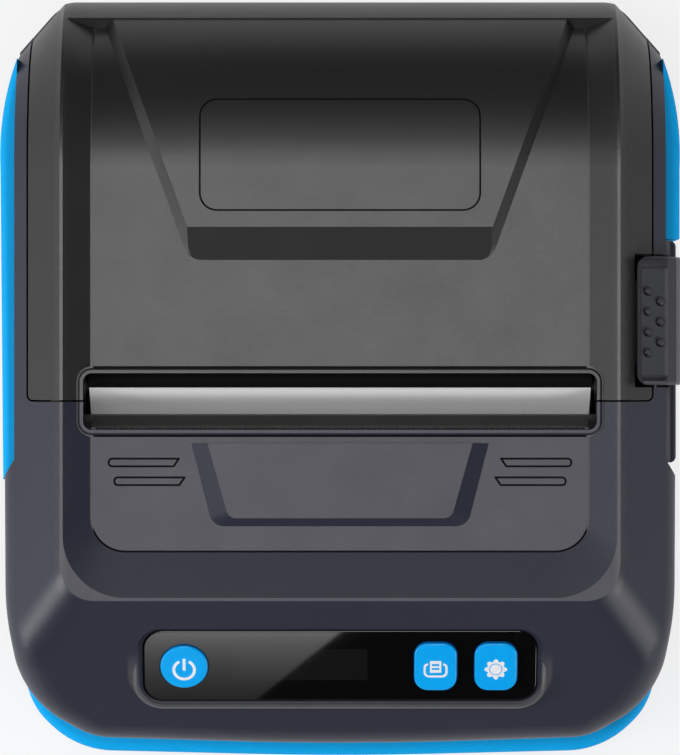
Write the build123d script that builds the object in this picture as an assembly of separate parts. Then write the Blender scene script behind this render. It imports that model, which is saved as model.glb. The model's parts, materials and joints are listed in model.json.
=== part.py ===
"""Portable label printer: clamshell case, label roll, platen drive and thermal head.

Units are millimetres. +Z is up, +Y points to the hinge at the rear, +X to the right
of a user who faces the control panel. The origin is the centre of the footprint.
The label width and the roll size drive the case; lengths and clearances do the rest.
"""
import os
from math import acos, atan2, cos, degrees, hypot, pi, radians, sin, tan

from build123d import *

# Label media, which the machine is built round
WEB_HALF_X = 40.1
WEB_THICK = 0.2
WEB_CLEAR = 0.3
ROLL_R = 22.4
CORE_R = 9.5
CORE_BORE_R = 8.0

# Walls and gaps of the case
WALL = 2.2
CROWN_WALL = 3.8
SEAM_GAP = 0.3
CASE_BOTTOM_Z = 1.2
ROLL_UNDER = 2.2
ROLL_OVER = 2.8
ROLL_BEHIND = 1.8

# Levels
FLOOR_Z = CASE_BOTTOM_Z + WALL
ROLL_Z = FLOOR_Z + ROLL_UNDER + ROLL_R
CEILING_Z = ROLL_Z + ROLL_R + ROLL_OVER
CASE_TOP_Z = CEILING_Z + CROWN_WALL
CASE_SPLIT_Z = CASE_TOP_Z - 36.2
BASE_Z = CASE_TOP_Z - 38.0

# Case outline, seen from above; corners are in from the side and from the end
CASE_FRONT_Y = -59.4
CASE_REAR_Y = 62.1
CASE_HALF_X = WEB_HALF_X + 14.5
REAR_HALF_X = CASE_HALF_X - 2.1
STEP_Y = -15.9
STEP_RUN = 3.3
FRONT_CORNERS = ((14.1, 1.4), (3.1, 8.0), (0.5, 22.9))
REAR_CORNERS = ((0.0, 10.6), (9.3, 0.0))
CORNER_RADII = (11, 16, 40, 9, 7)
FRONT_BOW_R = 600

# Crown: ridge, side slopes, front slope and the round rear
RIDGE_HALF_X = CASE_HALF_X - 9.8
RIDGE_FRONT_Y = CASE_FRONT_Y + 24.3
SIDE_SLOPE = 49.0
FRONT_SLOPE = 40.0
REAR_RADIUS = 27.5
CORNER_ROUND = 8.5
EDGE_ROUND = 6.0
FOOT_CHAMFER = 2.0

# Sunken top between the ridges
DISH_DEPTH = 1.8
DISH_HALF_X = RIDGE_HALF_X - 4.8
DISH_FRONT_Y = RIDGE_FRONT_Y + 7.7
DISH_CORNER = 5.6
DISH_BAND = 4.3
DISH_FRONT_BAND = 7.2
DISH_REAR_TURN = 62.0
LINE_WIDTH = 0.32
LINE_DEPTH = 0.7

# Raised V platform on the lid, and the bare label place on it
PLATFORM_DROP = 0.2
PLATFORM_FRONT_Y = 19.4
PLATFORM_FRONT_HALF_X = 24.2
PLATFORM_SPREAD = 0.362
PLATFORM_CORNER = 3.0
PLATFORM_FRONT_RUN = 5.3
PLACE_SIZE = (45.1, 18.1)
PLACE_Y = 36.25
PLACE_CORNER = 2.9
PLACE_DEPTH = 0.12
PLACE_LINE_WIDTH = 0.3
PLACE_LINE_DEPTH = 0.6

# Raised trapezoid and the four bars on the housing
TABLE_Y = (-9.9, -21.9)
TABLE_HALF_X = (21.2, 17.8)
TABLE_SIDE_RUN = 2.6
TABLE_FRONT_RUN = 1.3
TABLE_HEIGHT = 0.9
TABLE_CORNER = 1.6
BAR_LENGTH = 11.7
BAR_HEIGHT = 1.55
BAR_PITCH = 3.0
BAR_Y = -13.0
BAR_X = DISH_HALF_X - 8.7
BAR_SHIFT = 0.9

# Label slot and the raised ring round it
SLOT_HALF_X = WEB_HALF_X + 1.0
SLOT_FRONT_Y = -7.8
SLOT_REAR_Y = 1.3
SLOT_CORNER = 1.4
RING_WIDTH = 0.8
RING_HEIGHT = 0.7
RING_ROUND = 0.36
TEAR_BAR_FIT = 0.05
TEAR_BAR_THICK = 0.7

# Lid and its hinge
LID_HALF_X = CASE_HALF_X - 4.5
LID_FRONT_Y = -3.0
LID_FRONT_CORNER = 0.8
LID_REAR_Z = CASE_TOP_Z - REAR_RADIUS + 0.1
KNUCKLE_R = 3.0
HINGE_Y = CASE_REAR_Y - KNUCKLE_R
HINGE_Z = CASE_SPLIT_Z - 2.3
LID_TAIL_Z = HINGE_Z + 3.8
PIN_R = 1.0
PIN_FIT = 0.05
HINGE_SWEEP_R = 4.6
HINGE_HALF_X = CASE_HALF_X - 11.2
LID_BARREL_HALF_X = HINGE_HALF_X - 9.4
HINGE_PIN_DEPTH = 9.0
CASE_KNUCKLE_X = (LID_BARREL_HALF_X + SEAM_GAP, HINGE_HALF_X - 0.6)

# Control panel, in its own tilted plane
PANEL_Y = CASE_FRONT_Y + 13.55
PANEL_Z = CASE_TOP_Z - 9.0
PANEL_TILT = 25.0
LENS_SIZE = (63.4, 12.7)
LENS_CORNER = 3.2
LENS_THICK = 1.2
LENS_FIT = 0.15
LENS_EDGE_ROUND = 0.25
BEZEL_MARGIN = 1.9
BEZEL_PROUD = 0.25
BEZEL_ROUND = 1.4
BUTTON_FIT = 0.15
BUTTON_PROUD = 0.55
BUTTON_TRAVEL = 0.7
BUTTON_FLANGE = 0.6
BUTTON_EDGE_ROUND = 0.4
KEY_SIZE = (6.9, 8.6)
KEY_CORNER = 2.3
POWER_R = 3.85
SETUP_X = LENS_SIZE[0] / 2 - 6.6
POWER_X = -SETUP_X
FEED_X = SETUP_X - KEY_SIZE[0] - 2.8
DISPLAY_X = (POWER_X + 6.6, FEED_X - 9.9)
DISPLAY_HALF_Y = 3.9
BOARD_THICK = 1.0
KEY_BOARD_DEPTH = 4.2
KEY_BOARD_SIDE = 2.0
KEY_BOARD_HALF_Y = 5.4

# Release lever; its section is in from the outer side and down from the case top
LEVER_Y = (-0.6, 20.0)
LEVER_OUTER_X = CASE_HALF_X + 0.2
LEVER_INNER_X = CASE_HALF_X - 7.0
LEVER_PIVOT = (CASE_HALF_X - 3.2, CASE_TOP_Z - 21.0)
LEVER_BARREL_R = 1.9
LEVER_PIN_R = 0.9
LEVER_FIT = 0.4
LEVER_PAD_Y = (0.5, 18.4)
LEVER_PAD_X = (CASE_HALF_X - 6.3, CASE_HALF_X - 2.4)
LEVER_PAD_DEPTH = 0.4
LEVER_CORNER = 1.8
DOT_R = 0.7
DOT_PITCH = 3.28
DOT_X = (LEVER_INNER_X + 1.75, LEVER_INNER_X + 3.75)
LEVER_SPRING_Y = (7.5, 12.0)
LEVER_SPRING_R = 1.35
LEVER_SPRING_WIRE = 0.5
LEVER_SPRING_TURNS = 3
LEVER_SPRING_END_GAP = 0.1

# Platen and gear train
PLATEN_Y = SLOT_REAR_Y - 2.3
PLATEN_Z = CEILING_Z - 8.7
PLATEN_R = 4.6
PLATEN_HALF_X = WEB_HALF_X + 0.4
SHAFT_R = 2.0
BUSH_R = 3.0
BUSH_FIT = 0.05
GEAR_MODULE = 0.5
GEAR_PLAY = 0.05
PLATEN_TEETH = 20
IDLER_TEETH = 30
PINION_TEETH = 12
PLATE_X = WEB_HALF_X + 3.1
PLATE_THICK = 1.0
GEAR_X = (-PLATE_X - 3.4, -PLATE_X - 1.7)
IDLER_ANGLE = 251.9
PINION_ANGLE = 206.0
AXLE_R = 1.5
MOTOR_R = 7.5
MOTOR_X = (-PLATE_X + 0.6, -PLATE_X + 16.2)
MOTOR_SHAFT_R = 0.9
ARM_X = (WEB_HALF_X + 1.2, PLATE_X - 0.3)

# Thermal head, in its own plane square to the platen at the nip
HEAD_HALF_X = WEB_HALF_X + 1.7
HEAD_THICK = 1.0
SINK_THICK = 2.5
HEAD_PIVOT = (-9.5, 5.2)
HEAD_PIVOT_R = 1.5
SPRING_SEAT = 9.5
SPRING_X = 22.0
SPRING_R = 1.7
SPRING_WIRE = 0.5
SPRING_TURNS = 4
SPRING_END_GAP = 0.05

# Roll holders
ROLL_Y = CASE_REAR_Y - CROWN_WALL - ROLL_BEHIND - ROLL_R
ROLL_HALF_X = WEB_HALF_X - 0.3
WEB_TIP_Z = CASE_TOP_Z - 1.9
GUIDE_X = (ROLL_HALF_X + 0.6, ROLL_HALF_X + 2.6)
GUIDE_DISC_R = 15.0
GUIDE_HUB_R = CORE_BORE_R - 0.4
GUIDE_HUB_DEEP = 4.0
GUIDE_TRAVEL = 2.5
RAIL_TOP_Z = FLOOR_Z + 2.8
RAIL_HALF_Y = 3.0
CRADLE_WALL_X = (GUIDE_X[1] + GUIDE_TRAVEL + 0.1, GUIDE_X[1] + GUIDE_TRAVEL + 1.0)
CRADLE_OVER = 1.8
CRADLE_CLEAR = 1.0
CRADLE_WALL = (
    (-0.9, -0.8),
    (1.04, -0.8),
    (1.04, -0.18),
    (0.8, 0.36),
    (0.44, 0.62),
    (-0.54, 0.62),
    (-0.9, 0.09),
)

# Battery, its door and the boards
DOOR_Y = (-54.0, -8.0)
DOOR_THICK = 1.8
BATTERY_HALF_X = WEB_HALF_X - 6.1
BATTERY_Y = (DOOR_Y[0] + 2.0, DOOR_Y[1] - 2.0)
BATTERY_TOP_Z = BASE_Z - 2.0
DOOR_HALF_X = BATTERY_HALF_X + 2.0
BAY_FIT = 0.3
BAY_WALL = 1.2
DOOR_HINGE = (DOOR_Y[0] - 1.2, CASE_BOTTOM_Z + 1.2)
DOOR_KNUCKLE_X = (20.0, 26.0)
DOOR_LUG_R = 1.1
DOOR_PIN_R = 0.6
LATCH_HALF_X = 6.0
LATCH_TONGUE_Z = (CASE_BOTTOM_Z + 0.6, CASE_BOTTOM_Z + 1.2)
MAIN_BOARD_Z = BASE_Z + 1.0
MAIN_BOARD_THICK = 1.6
MAIN_BOARD_HALF_X = CASE_HALF_X - 10.1
MAIN_BOARD_Y = (-52.0, -24.5)
BOARD_TOP_Z = MAIN_BOARD_Z + MAIN_BOARD_THICK
USB_Y = (-46.0, -37.2)
USB_X = (CASE_HALF_X - 12.1, CASE_HALF_X - 3.6)
USB_HIGH = 3.2

# Feet, posts and screws
FOOT_R = 5.0
FOOT_X = CASE_HALF_X - 12.6
FOOT_Y = (-44.0, 47.0)
BOSS_R = 2.4
BOSS_Y = (-34.0, 33.0)
POST_R = 2.2
SCREW_R = 1.1
SCREW_HEAD_R = 2.0
SCREW_DEEP = 1.6

# Bumpers
BUMPER_OUT_X = CASE_HALF_X + 0.6
BUMPER_FRONT_X = CASE_HALF_X + 0.15
BUMPER_Z = (8.0, CASE_TOP_Z - 17.0)
BUMPER_REAR_Y = CASE_REAR_Y - 9.6
BUMPER_ROUND = 1.1
GUARD_REAR_Y = 22.8
FRONT_BUMPER_Y = CASE_FRONT_Y - 2.45
FRONT_BUMPER_Z = (4.0, CASE_SPLIT_Z + 1.2)
FRONT_BUMPER_CORNERS = ((11.2, 0.85), (3.5, 8.1), (1.8, 17.0))

# Places that follow from the sizes above
REAR_AXIS_Y = CASE_REAR_Y - REAR_RADIUS
REAR_AXIS_Z = CASE_TOP_Z - REAR_RADIUS
DISH_FLOOR_Z = CASE_TOP_Z - DISH_DEPTH
PLATEN_ARM = hypot(PLATEN_Y - HINGE_Y, PLATEN_Z - HINGE_Z)
NIP_TURN = atan2(PLATEN_Z - HINGE_Z, PLATEN_Y - HINGE_Y)
WEB_IN_R = PLATEN_ARM + PLATEN_R + WEB_CLEAR
IDLER_REACH = GEAR_MODULE * (PLATEN_TEETH + IDLER_TEETH) / 2 + GEAR_PLAY
PINION_REACH = GEAR_MODULE * (IDLER_TEETH + PINION_TEETH) / 2 + GEAR_PLAY
IDLER_Y = PLATEN_Y + IDLER_REACH * cos(radians(IDLER_ANGLE))
IDLER_Z = PLATEN_Z + IDLER_REACH * sin(radians(IDLER_ANGLE))
PINION_Y = IDLER_Y + PINION_REACH * cos(radians(PINION_ANGLE))
PINION_Z = IDLER_Z + PINION_REACH * sin(radians(PINION_ANGLE))
PANEL = Plane(
    (0, PANEL_Y, PANEL_Z),
    x_dir=(1, 0, 0),
    z_dir=(0, -sin(radians(PANEL_TILT)), cos(radians(PANEL_TILT))),
)
HEAD_R = WEB_IN_R + WEB_THICK + 0.02
HEAD = Plane(
    (0, HINGE_Y + HEAD_R * cos(NIP_TURN), HINGE_Z + HEAD_R * sin(NIP_TURN)),
    x_dir=(1, 0, 0),
    z_dir=(0, cos(NIP_TURN), sin(NIP_TURN)),
)


def block(x, y, z):
    """A block between the two limits given for each axis."""
    size = [b - a for a, b in (x, y, z)]
    middle = [(a + b) / 2 for a, b in (x, y, z)]
    return Pos(*middle) * Box(*size)


def rod_x(y, z, radius, x):
    """A round bar along X between the two limits."""
    return Pos((x[0] + x[1]) / 2, y, z) * Rot(0, 90, 0) * Cylinder(radius, x[1] - x[0])


def rod_y(x, z, radius, y):
    """A round bar along Y between the two limits."""
    return Pos(x, (y[0] + y[1]) / 2, z) * Rot(90, 0, 0) * Cylinder(radius, y[1] - y[0])


def rod_z(x, y, radius, z):
    """A round bar along Z between the two limits."""
    return Pos(x, y, (z[0] + z[1]) / 2) * Cylinder(radius, z[1] - z[0])


def along_x(points, x):
    """A profile of (y, z) points, extruded along X."""
    face = make_face(Polyline(*[(x[0], a, b) for a, b in points], close=True))
    return extrude(face, amount=x[1] - x[0], dir=(1, 0, 0))


def along_y(points, y):
    """A profile of (x, z) points, extruded along Y."""
    face = make_face(Polyline(*[(a, y[0], b) for a, b in points], close=True))
    return extrude(face, amount=y[1] - y[0], dir=(0, 1, 0))


def along_z(points, z):
    """A plan of (x, y) points, extruded along Z."""
    face = make_face(Polyline(*[(a, b, z[0]) for a, b in points], close=True))
    return extrude(face, amount=z[1] - z[0], dir=(0, 0, 1))


def pad(x, y, z, radius):
    """A block with four upright rounded edges."""
    face = Pos((x[0] + x[1]) / 2, (y[0] + y[1]) / 2, z[0]) * RectangleRounded(
        x[1] - x[0], y[1] - y[0], radius
    )
    return extrude(face, amount=z[1] - z[0])


def both(solid):
    """A solid and its mirror image on the other side."""
    return solid + mirror(solid, about=Plane.YZ)


def union(solids):
    """One shape from a list of solids."""
    total = solids[0]
    for solid in solids[1:]:
        total += solid
    return total


def group(solids):
    """Separate solids under one name."""
    return Compound(children=[s for shape in solids for s in shape.solids()])


# Case form


def outline_face(inset=0.0):
    """Plan of the case without the side steps, drawn in by a wall."""
    right = [(CASE_HALF_X - x, CASE_FRONT_Y + y) for x, y in FRONT_CORNERS]
    right += [(CASE_HALF_X - x, CASE_REAR_Y - y) for x, y in REAR_CORNERS]
    left = [(-x, y) for x, y in reversed(right)]
    radii = list(CORNER_RADII)
    corners = right + left + [(0, CASE_FRONT_Y)]
    edge = FilletPolyline(*corners, radius=radii + radii[::-1] + [FRONT_BOW_R], close=True)
    face = make_face(edge)
    return offset(face, amount=-inset, kind=Kind.INTERSECTION) if inset else face


def crown_points(inset, base):
    """Section across the case: flat crown and two slopes, as (x, height) points."""
    slope = radians(SIDE_SLOPE)
    top = CASE_TOP_Z - REAR_AXIS_Z - inset
    ridge = RIDGE_HALF_X - inset * tan(slope / 2)
    foot_x = CASE_HALF_X + 3
    foot = top - (foot_x - ridge) * tan(slope)
    half = [(ridge, top), (foot_x, foot), (foot_x, base)]
    return half + [(-x, h) for x, h in reversed(half)]


def front_cutter(inset):
    """The space in front of and above the front slope."""
    slope = radians(FRONT_SLOPE)
    top = CASE_TOP_Z - inset
    ridge = RIDGE_FRONT_Y + inset * tan(slope / 2)
    out = CASE_FRONT_Y - 10
    low = top - (ridge - out) * tan(slope)
    return along_x([(ridge, top), (ridge, top + 20), (out, top + 20), (out, low)], (-90, 90))


def rolled_form(crown):
    """Crown section run along the case and turned down round the rear."""
    front = along_y(
        [(x, h + REAR_AXIS_Z) for x, h in crown_points(crown, -REAR_AXIS_Z)],
        (CASE_FRONT_Y - 5, REAR_AXIS_Y),
    )
    section = [(x, REAR_AXIS_Y, h + REAR_AXIS_Z) for x, h in crown_points(crown, 0)]
    rear = revolve(
        make_face(Polyline(*section, close=True)),
        axis=Axis((0, REAR_AXIS_Y, REAR_AXIS_Z), (-1, 0, 0)),
        revolution_arc=90,
    )
    foot = CASE_HALF_X + 3
    low = block((-foot, foot), (REAR_AXIS_Y, CASE_REAR_Y - crown), (0, REAR_AXIS_Z))
    return front + rear + low - front_cutter(crown)


def side_steps(wall):
    """The space beside the narrower rear part, where the bumpers sit."""
    inner = REAR_HALF_X - wall
    far = CASE_HALF_X + 5
    run = STEP_RUN / (CASE_HALF_X - REAR_HALF_X)
    points = [
        (inner, STEP_Y + STEP_RUN),
        (far, STEP_Y + STEP_RUN - run * (far - inner)),
        (far, CASE_REAR_Y + 5),
        (inner, CASE_REAR_Y + 5),
    ]
    return both(along_z(points, (-1, 80)))


def upright(face):
    """Whether a face stands on end."""
    return abs(face.normal_at(face.center()).Z) < 0.02


def upright_edge(edge):
    """Whether an edge stands on end."""
    return abs(edge.tangent_at(0.5).Z) > 0.98


def shoulder_edges(form):
    """Edges between the walls and the crown, forward of the round rear."""
    edges = []
    for edge in form.edges().filter_by(lambda e: e.center().Z > 20 and e.center().Y < 30):
        sides = [upright(f) for f in form.faces() if any(edge.is_same(e) for e in f.edges())]
        if len(sides) == 2 and sides[0] != sides[1]:
            edges.append(edge)
    return edges


def outer_form():
    """The closed case as one solid, with its rounded edges."""
    form = rolled_form(0)
    mitres = form.edges().filter_by(
        lambda e: e.length > 15 and abs(e.tangent_at(0).X) > 0.2 and abs(e.tangent_at(0).Z) > 0.2
    )
    form = fillet(mitres, CORNER_ROUND)
    plan = Pos(0, 0, CASE_BOTTOM_Z) * extrude(outline_face(), amount=80)
    plan = chamfer(plan.faces().sort_by(Axis.Z)[0].edges(), FOOT_CHAMFER)
    form = fillet(shoulder_edges(form & plan), EDGE_ROUND)
    return form - side_steps(0)


def inner_form(crown=CROWN_WALL):
    """The space inside the walls and the crown."""
    plan = Pos(0, 0, FLOOR_Z) * extrude(outline_face(WALL), amount=80)
    return (rolled_form(crown) & plan) - side_steps(WALL)


def dish_face(half_x, front_y, radius, z):
    """Plan of the sunken top at one level, open to the round rear."""
    points = [(-half_x, REAR_AXIS_Y), (-half_x, front_y), (half_x, front_y), (half_x, REAR_AXIS_Y)]
    edge = FilletPolyline(*points, radius=[0, radius, radius, 0], close=True)
    return Pos(0, 0, z) * make_face(edge)


def rear_turn(points, turn):
    """A section of (x, radius) points turned down round the rear axis."""
    face = make_face(Polyline(*[(x, REAR_AXIS_Y, r + REAR_AXIS_Z) for x, r in points], close=True))
    return revolve(face, axis=Axis((0, REAR_AXIS_Y, REAR_AXIS_Z), (-1, 0, 0)), revolution_arc=turn)


def dish():
    """The sunken top as a cutter, with its banked edge."""
    low = dish_face(DISH_HALF_X, DISH_FRONT_Y, DISH_CORNER, DISH_FLOOR_Z)
    high = dish_face(
        DISH_HALF_X + DISH_BAND, DISH_FRONT_Y - DISH_FRONT_BAND, DISH_CORNER + DISH_BAND, CASE_TOP_Z
    )
    flat = loft([low, high], ruled=True)
    above = extrude(high, amount=5)
    floor_r = REAR_RADIUS - DISH_DEPTH
    wide = DISH_HALF_X + DISH_BAND
    section = [
        (-DISH_HALF_X, floor_r),
        (DISH_HALF_X, floor_r),
        (wide, REAR_RADIUS),
        (wide, REAR_RADIUS + 5),
        (-wide, REAR_RADIUS + 5),
        (-wide, REAR_RADIUS),
    ]
    return flat + above + rear_turn(section, DISH_REAR_TURN)


def dish_line():
    """The fine line cut along the foot of the banked edge."""
    z = DISH_FLOOR_Z - LINE_DEPTH
    out = dish_face(DISH_HALF_X, DISH_FRONT_Y, DISH_CORNER, z)
    inner = dish_face(
        DISH_HALF_X - LINE_WIDTH, DISH_FRONT_Y + LINE_WIDTH, DISH_CORNER - LINE_WIDTH, z
    )
    flat = extrude(out - inner, amount=LINE_DEPTH + 0.5)
    low = REAR_RADIUS - DISH_DEPTH - LINE_DEPTH
    strip = [
        (DISH_HALF_X - LINE_WIDTH, low),
        (DISH_HALF_X, low),
        (DISH_HALF_X, low + LINE_DEPTH + 0.5),
        (DISH_HALF_X - LINE_WIDTH, low + LINE_DEPTH + 0.5),
    ]
    return flat + both(rear_turn(strip, DISH_REAR_TURN))


def platform():
    """The raised V platform on the lid, sloping at its front and sides."""
    front, half = PLATFORM_FRONT_Y, PLATFORM_FRONT_HALF_X
    far = CASE_REAR_Y + 1
    far_half = half + (far - front) * PLATFORM_SPREAD
    plan = [(-far_half, far), (-half, front), (half, front), (far_half, far)]
    edge = FilletPolyline(*plan, radius=[0, PLATFORM_CORNER, PLATFORM_CORNER, 0], close=True)
    prism = Pos(0, 0, REAR_AXIS_Z) * extrude(make_face(edge), amount=REAR_RADIUS + 3)
    form = prism & rolled_form(PLATFORM_DROP)
    rise = DISH_DEPTH - PLATFORM_DROP
    top = CASE_TOP_Z - PLATFORM_DROP
    rim = form.edges().filter_by(
        lambda e: e.center().Z > REAR_AXIS_Z + 4 and abs(e.center().X) > 5 and not upright_edge(e)
    )
    form = chamfer(rim, rise)
    low, high = front - 1, front + PLATFORM_FRONT_RUN
    wedge = [(low, top - rise), (front, top - rise), (high, top + 0.01), (high, top + 3), (low, top + 3)]
    return form - along_x(wedge, (-half - 9, half + 9))


def label_place():
    """The shallow bare place for a label on the platform, with the fine line round it."""
    half_x, half_y = PLACE_SIZE[0] / 2, PLACE_SIZE[1] / 2
    y = (PLACE_Y - half_y, PLACE_Y + half_y)
    z = (REAR_AXIS_Z + 4, CASE_TOP_Z + 3)
    place = pad((-half_x, half_x), y, z, PLACE_CORNER)
    line = PLACE_LINE_WIDTH
    inside = pad(
        (-half_x + line, half_x - line), (y[0] + line, y[1] - line), z, PLACE_CORNER - line
    )
    floor = place - rolled_form(PLATFORM_DROP + PLACE_DEPTH)
    return floor + (place - inside - rolled_form(PLATFORM_DROP + PLACE_LINE_DEPTH))


def table_plan(run_x, run_y, corner, z):
    """Plan of the raised trapezoid at one level, its front corners rounded."""
    rear, front = TABLE_HALF_X[0] + run_x, TABLE_HALF_X[1] + run_x
    points = [
        (-rear, TABLE_Y[0]),
        (-front, TABLE_Y[1] - run_y),
        (front, TABLE_Y[1] - run_y),
        (rear, TABLE_Y[0]),
    ]
    edge = FilletPolyline(*points, radius=[0, corner, corner, 0], close=True)
    return Pos(0, 0, z) * make_face(edge)


def table():
    """The raised trapezoid in front of the slot, banked at its sides and front."""
    low = table_plan(TABLE_SIDE_RUN, TABLE_FRONT_RUN, TABLE_CORNER + 0.8, DISH_FLOOR_Z)
    high = table_plan(0, 0, TABLE_CORNER, DISH_FLOOR_Z + TABLE_HEIGHT)
    return loft([low, high], ruled=True) + extrude(low, amount=0.5, dir=(0, 0, -1))


def bar_outline(x, y, lean):
    """One engraved bar: an outline with a round outer end and a slanted inner end."""
    half, rise = BAR_LENGTH / 2, BAR_HEIGHT / 2
    points = [
        (x - lean * half, y - rise),
        (x - lean * half, y + rise),
        (x + lean * half, y + rise),
        (x + lean * (half - BAR_HEIGHT * 0.7), y - rise),
    ]
    edge = FilletPolyline(*points, radius=[rise * 0.9, rise * 0.9, 0.15, 0.3], close=True)
    face = Pos(0, 0, DISH_FLOOR_Z - LINE_DEPTH) * make_face(edge)
    ring = face - offset(face, amount=-LINE_WIDTH, kind=Kind.INTERSECTION)
    return extrude(ring, amount=LINE_DEPTH + 0.5, dir=(0, 0, 1))


def bars():
    """The four engraved bars beside the raised trapezoid."""
    cuts = []
    for side in (-1, 1):
        for row in range(2):
            x = side * (BAR_X - row * BAR_SHIFT)
            cuts.append(bar_outline(x, BAR_Y - row * BAR_PITCH, -side))
    return union(cuts)


def slot_cut():
    """The label slot, right through the crown."""
    y = (SLOT_FRONT_Y, SLOT_REAR_Y)
    return pad((-SLOT_HALF_X, SLOT_HALF_X), y, (CEILING_Z - 5, CASE_TOP_Z + 5), SLOT_CORNER)


def slot_ring():
    """The raised ring round the slot, solid across the opening."""
    out = RING_WIDTH
    x = (-SLOT_HALF_X - out, SLOT_HALF_X + out)
    y = (SLOT_FRONT_Y - out, SLOT_REAR_Y + out)
    ring = pad(x, y, (DISH_FLOOR_Z - 1, DISH_FLOOR_Z + RING_HEIGHT), SLOT_CORNER + out)
    return fillet(ring.faces().sort_by(Axis.Z)[-1].edges(), RING_ROUND)


def ring_line():
    """The fine line cut round the foot of the ring."""
    out = RING_WIDTH + LINE_WIDTH
    x = (-SLOT_HALF_X - out, SLOT_HALF_X + out)
    y = (SLOT_FRONT_Y - out, SLOT_REAR_Y + out)
    return pad(x, y, (DISH_FLOOR_Z - LINE_DEPTH, DISH_FLOOR_Z + 1), SLOT_CORNER + out)


def bezel():
    """The raised frame that carries the panel lens."""
    half_x = LENS_SIZE[0] / 2 + BEZEL_MARGIN
    half_y = LENS_SIZE[1] / 2 + BEZEL_MARGIN
    form = pad((-half_x, half_x), (-half_y, half_y), (-7, BEZEL_PROUD), LENS_CORNER + BEZEL_MARGIN)
    form = fillet(form.faces().sort_by(Axis.Z)[-1].edges(), BEZEL_ROUND)
    return PANEL * form


def panel_cuts():
    """Lens seat, the slope cleared above it and the window below it."""
    half_x = LENS_SIZE[0] / 2 + LENS_FIT
    half_y = LENS_SIZE[1] / 2 + LENS_FIT
    corner = LENS_CORNER + LENS_FIT
    seat = pad((-half_x, half_x), (-half_y, half_y), (-LENS_THICK, 9), corner)
    clear = RectangleRounded(2 * half_x + 0.6, 2 * half_y + 0.6, corner + 0.3)
    above = extrude(clear, amount=9, taper=-25)
    window = pad((-half_x + 1.6, half_x - 1.6), (-half_y + 1.2, half_y - 1.2), (-9, 0), corner - 1.2)
    relief_x = LENS_SIZE[0] / 2 + KEY_BOARD_SIDE + 0.4
    relief_y = KEY_BOARD_HALF_Y + 0.5
    relief = block((-relief_x, relief_x), (-relief_y, relief_y), (-12, -KEY_BOARD_DEPTH + 0.8))
    return [PANEL * (seat + above), PANEL * (window + relief)]


def case_skin():
    """Crown and walls as one shell, before it is parted into lid and housings."""
    seat, window = panel_cuts()
    solid = outer_form() - dish() - dish_line()
    solid = solid + platform() - label_place() + table() - bars()
    solid = solid - ring_line() + slot_ring()
    solid = solid + bezel() - seat
    return solid - inner_form() - slot_cut() - window


def hinge_rod(radius, x):
    """A bar on the hinge axis."""
    return rod_x(HINGE_Y, HINGE_Z, radius, x)


def lid_space(gap):
    """The space that the lid fills, widened by a gap for the housing."""
    half = LID_HALF_X + gap
    low = LID_REAR_Z - 2 * gap
    front, rear = LID_FRONT_Y - gap, CASE_REAR_Y + 5
    corner = LID_FRONT_CORNER + gap
    plan = FilletPolyline(
        (-half, rear), (-half, front), (half, front), (half, rear), radius=[0, corner, corner, 0], close=True
    )
    crown = Pos(0, 0, low) * extrude(make_face(plan), amount=CASE_TOP_Z + 5 - low)
    tail_half = HINGE_HALF_X + gap
    tail = block((-tail_half, tail_half), (CASE_REAR_Y - 9, CASE_REAR_Y + 5), (LID_TAIL_Z - gap, low + 1))
    return crown + tail


def lever_space(gap):
    """The upright notch in lid and housing for the release lever."""
    y = (LEVER_Y[0] - gap, LEVER_Y[1] + gap)
    x = (LEVER_INNER_X - gap, CASE_HALF_X + 5)
    low = LEVER_PIVOT[1] - LEVER_BARREL_R - gap
    high = block(x, y, (CEILING_Z - 7, CASE_TOP_Z + 5))
    wall = block((REAR_HALF_X - WALL - 3, x[1]), y, (low, CEILING_Z))
    return high + wall


def lid_shell(skin):
    """Roll cover: the part of the skin above the roll, with its hinge knuckles."""
    lid = (skin & lid_space(0)) - lever_space(LEVER_FIT)
    inside = CASE_REAR_Y - CROWN_WALL
    x = (-LID_BARREL_HALF_X, LID_BARREL_HALF_X)
    web = block(x, (inside, CASE_REAR_Y), (HINGE_Z, LID_TAIL_Z + 2))
    lid = lid + hinge_rod(KNUCKLE_R, x) + web - hinge_rod(PIN_R + PIN_FIT, (-50, 50))
    relief = GEAR_MODULE * (PLATEN_TEETH + 2) / 2 + 0.6
    return lid - rod_x(PLATEN_Y, PLATEN_Z, relief, (GEAR_X[0] - 0.8, -PLATE_X))


def housing_skin(skin):
    """Walls and front crown: what the lid leaves."""
    sweep = hinge_rod(HINGE_SWEEP_R, (-HINGE_HALF_X - SEAM_GAP, HINGE_HALF_X + SEAM_GAP))
    half = HINGE_HALF_X + SEAM_GAP
    above = block((-half, half), (HINGE_Y - HINGE_SWEEP_R, CASE_REAR_Y + 5), (HINGE_Z, LID_REAR_Z))
    return skin - lid_space(SEAM_GAP) - sweep - above - lever_space(LEVER_FIT)


def lever_bosses():
    """Lugs inside the right wall that hold the lever pin."""
    x, z = LEVER_PIVOT
    lugs = []
    for y in ((LEVER_Y[0] - 4, LEVER_Y[0] - LEVER_FIT), (LEVER_Y[1] + LEVER_FIT, LEVER_Y[1] + 4)):
        lugs.append(block((x - 4.2, REAR_HALF_X - 0.4), y, (z - 3, z + 3)))
    return union(lugs)


def corner_bosses(z):
    """Screw bosses against the side walls."""
    posts = []
    for x, y in boss_places():
        posts.append(rod_z(x, y, BOSS_R, z))
        wall = (CASE_HALF_X if y < STEP_Y else REAR_HALF_X) - WALL + 0.3
        wall_x = wall if x > 0 else -wall
        posts.append(block(tuple(sorted((x, wall_x))), (y - 1, y + 1), z))
    return union(posts)


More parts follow.
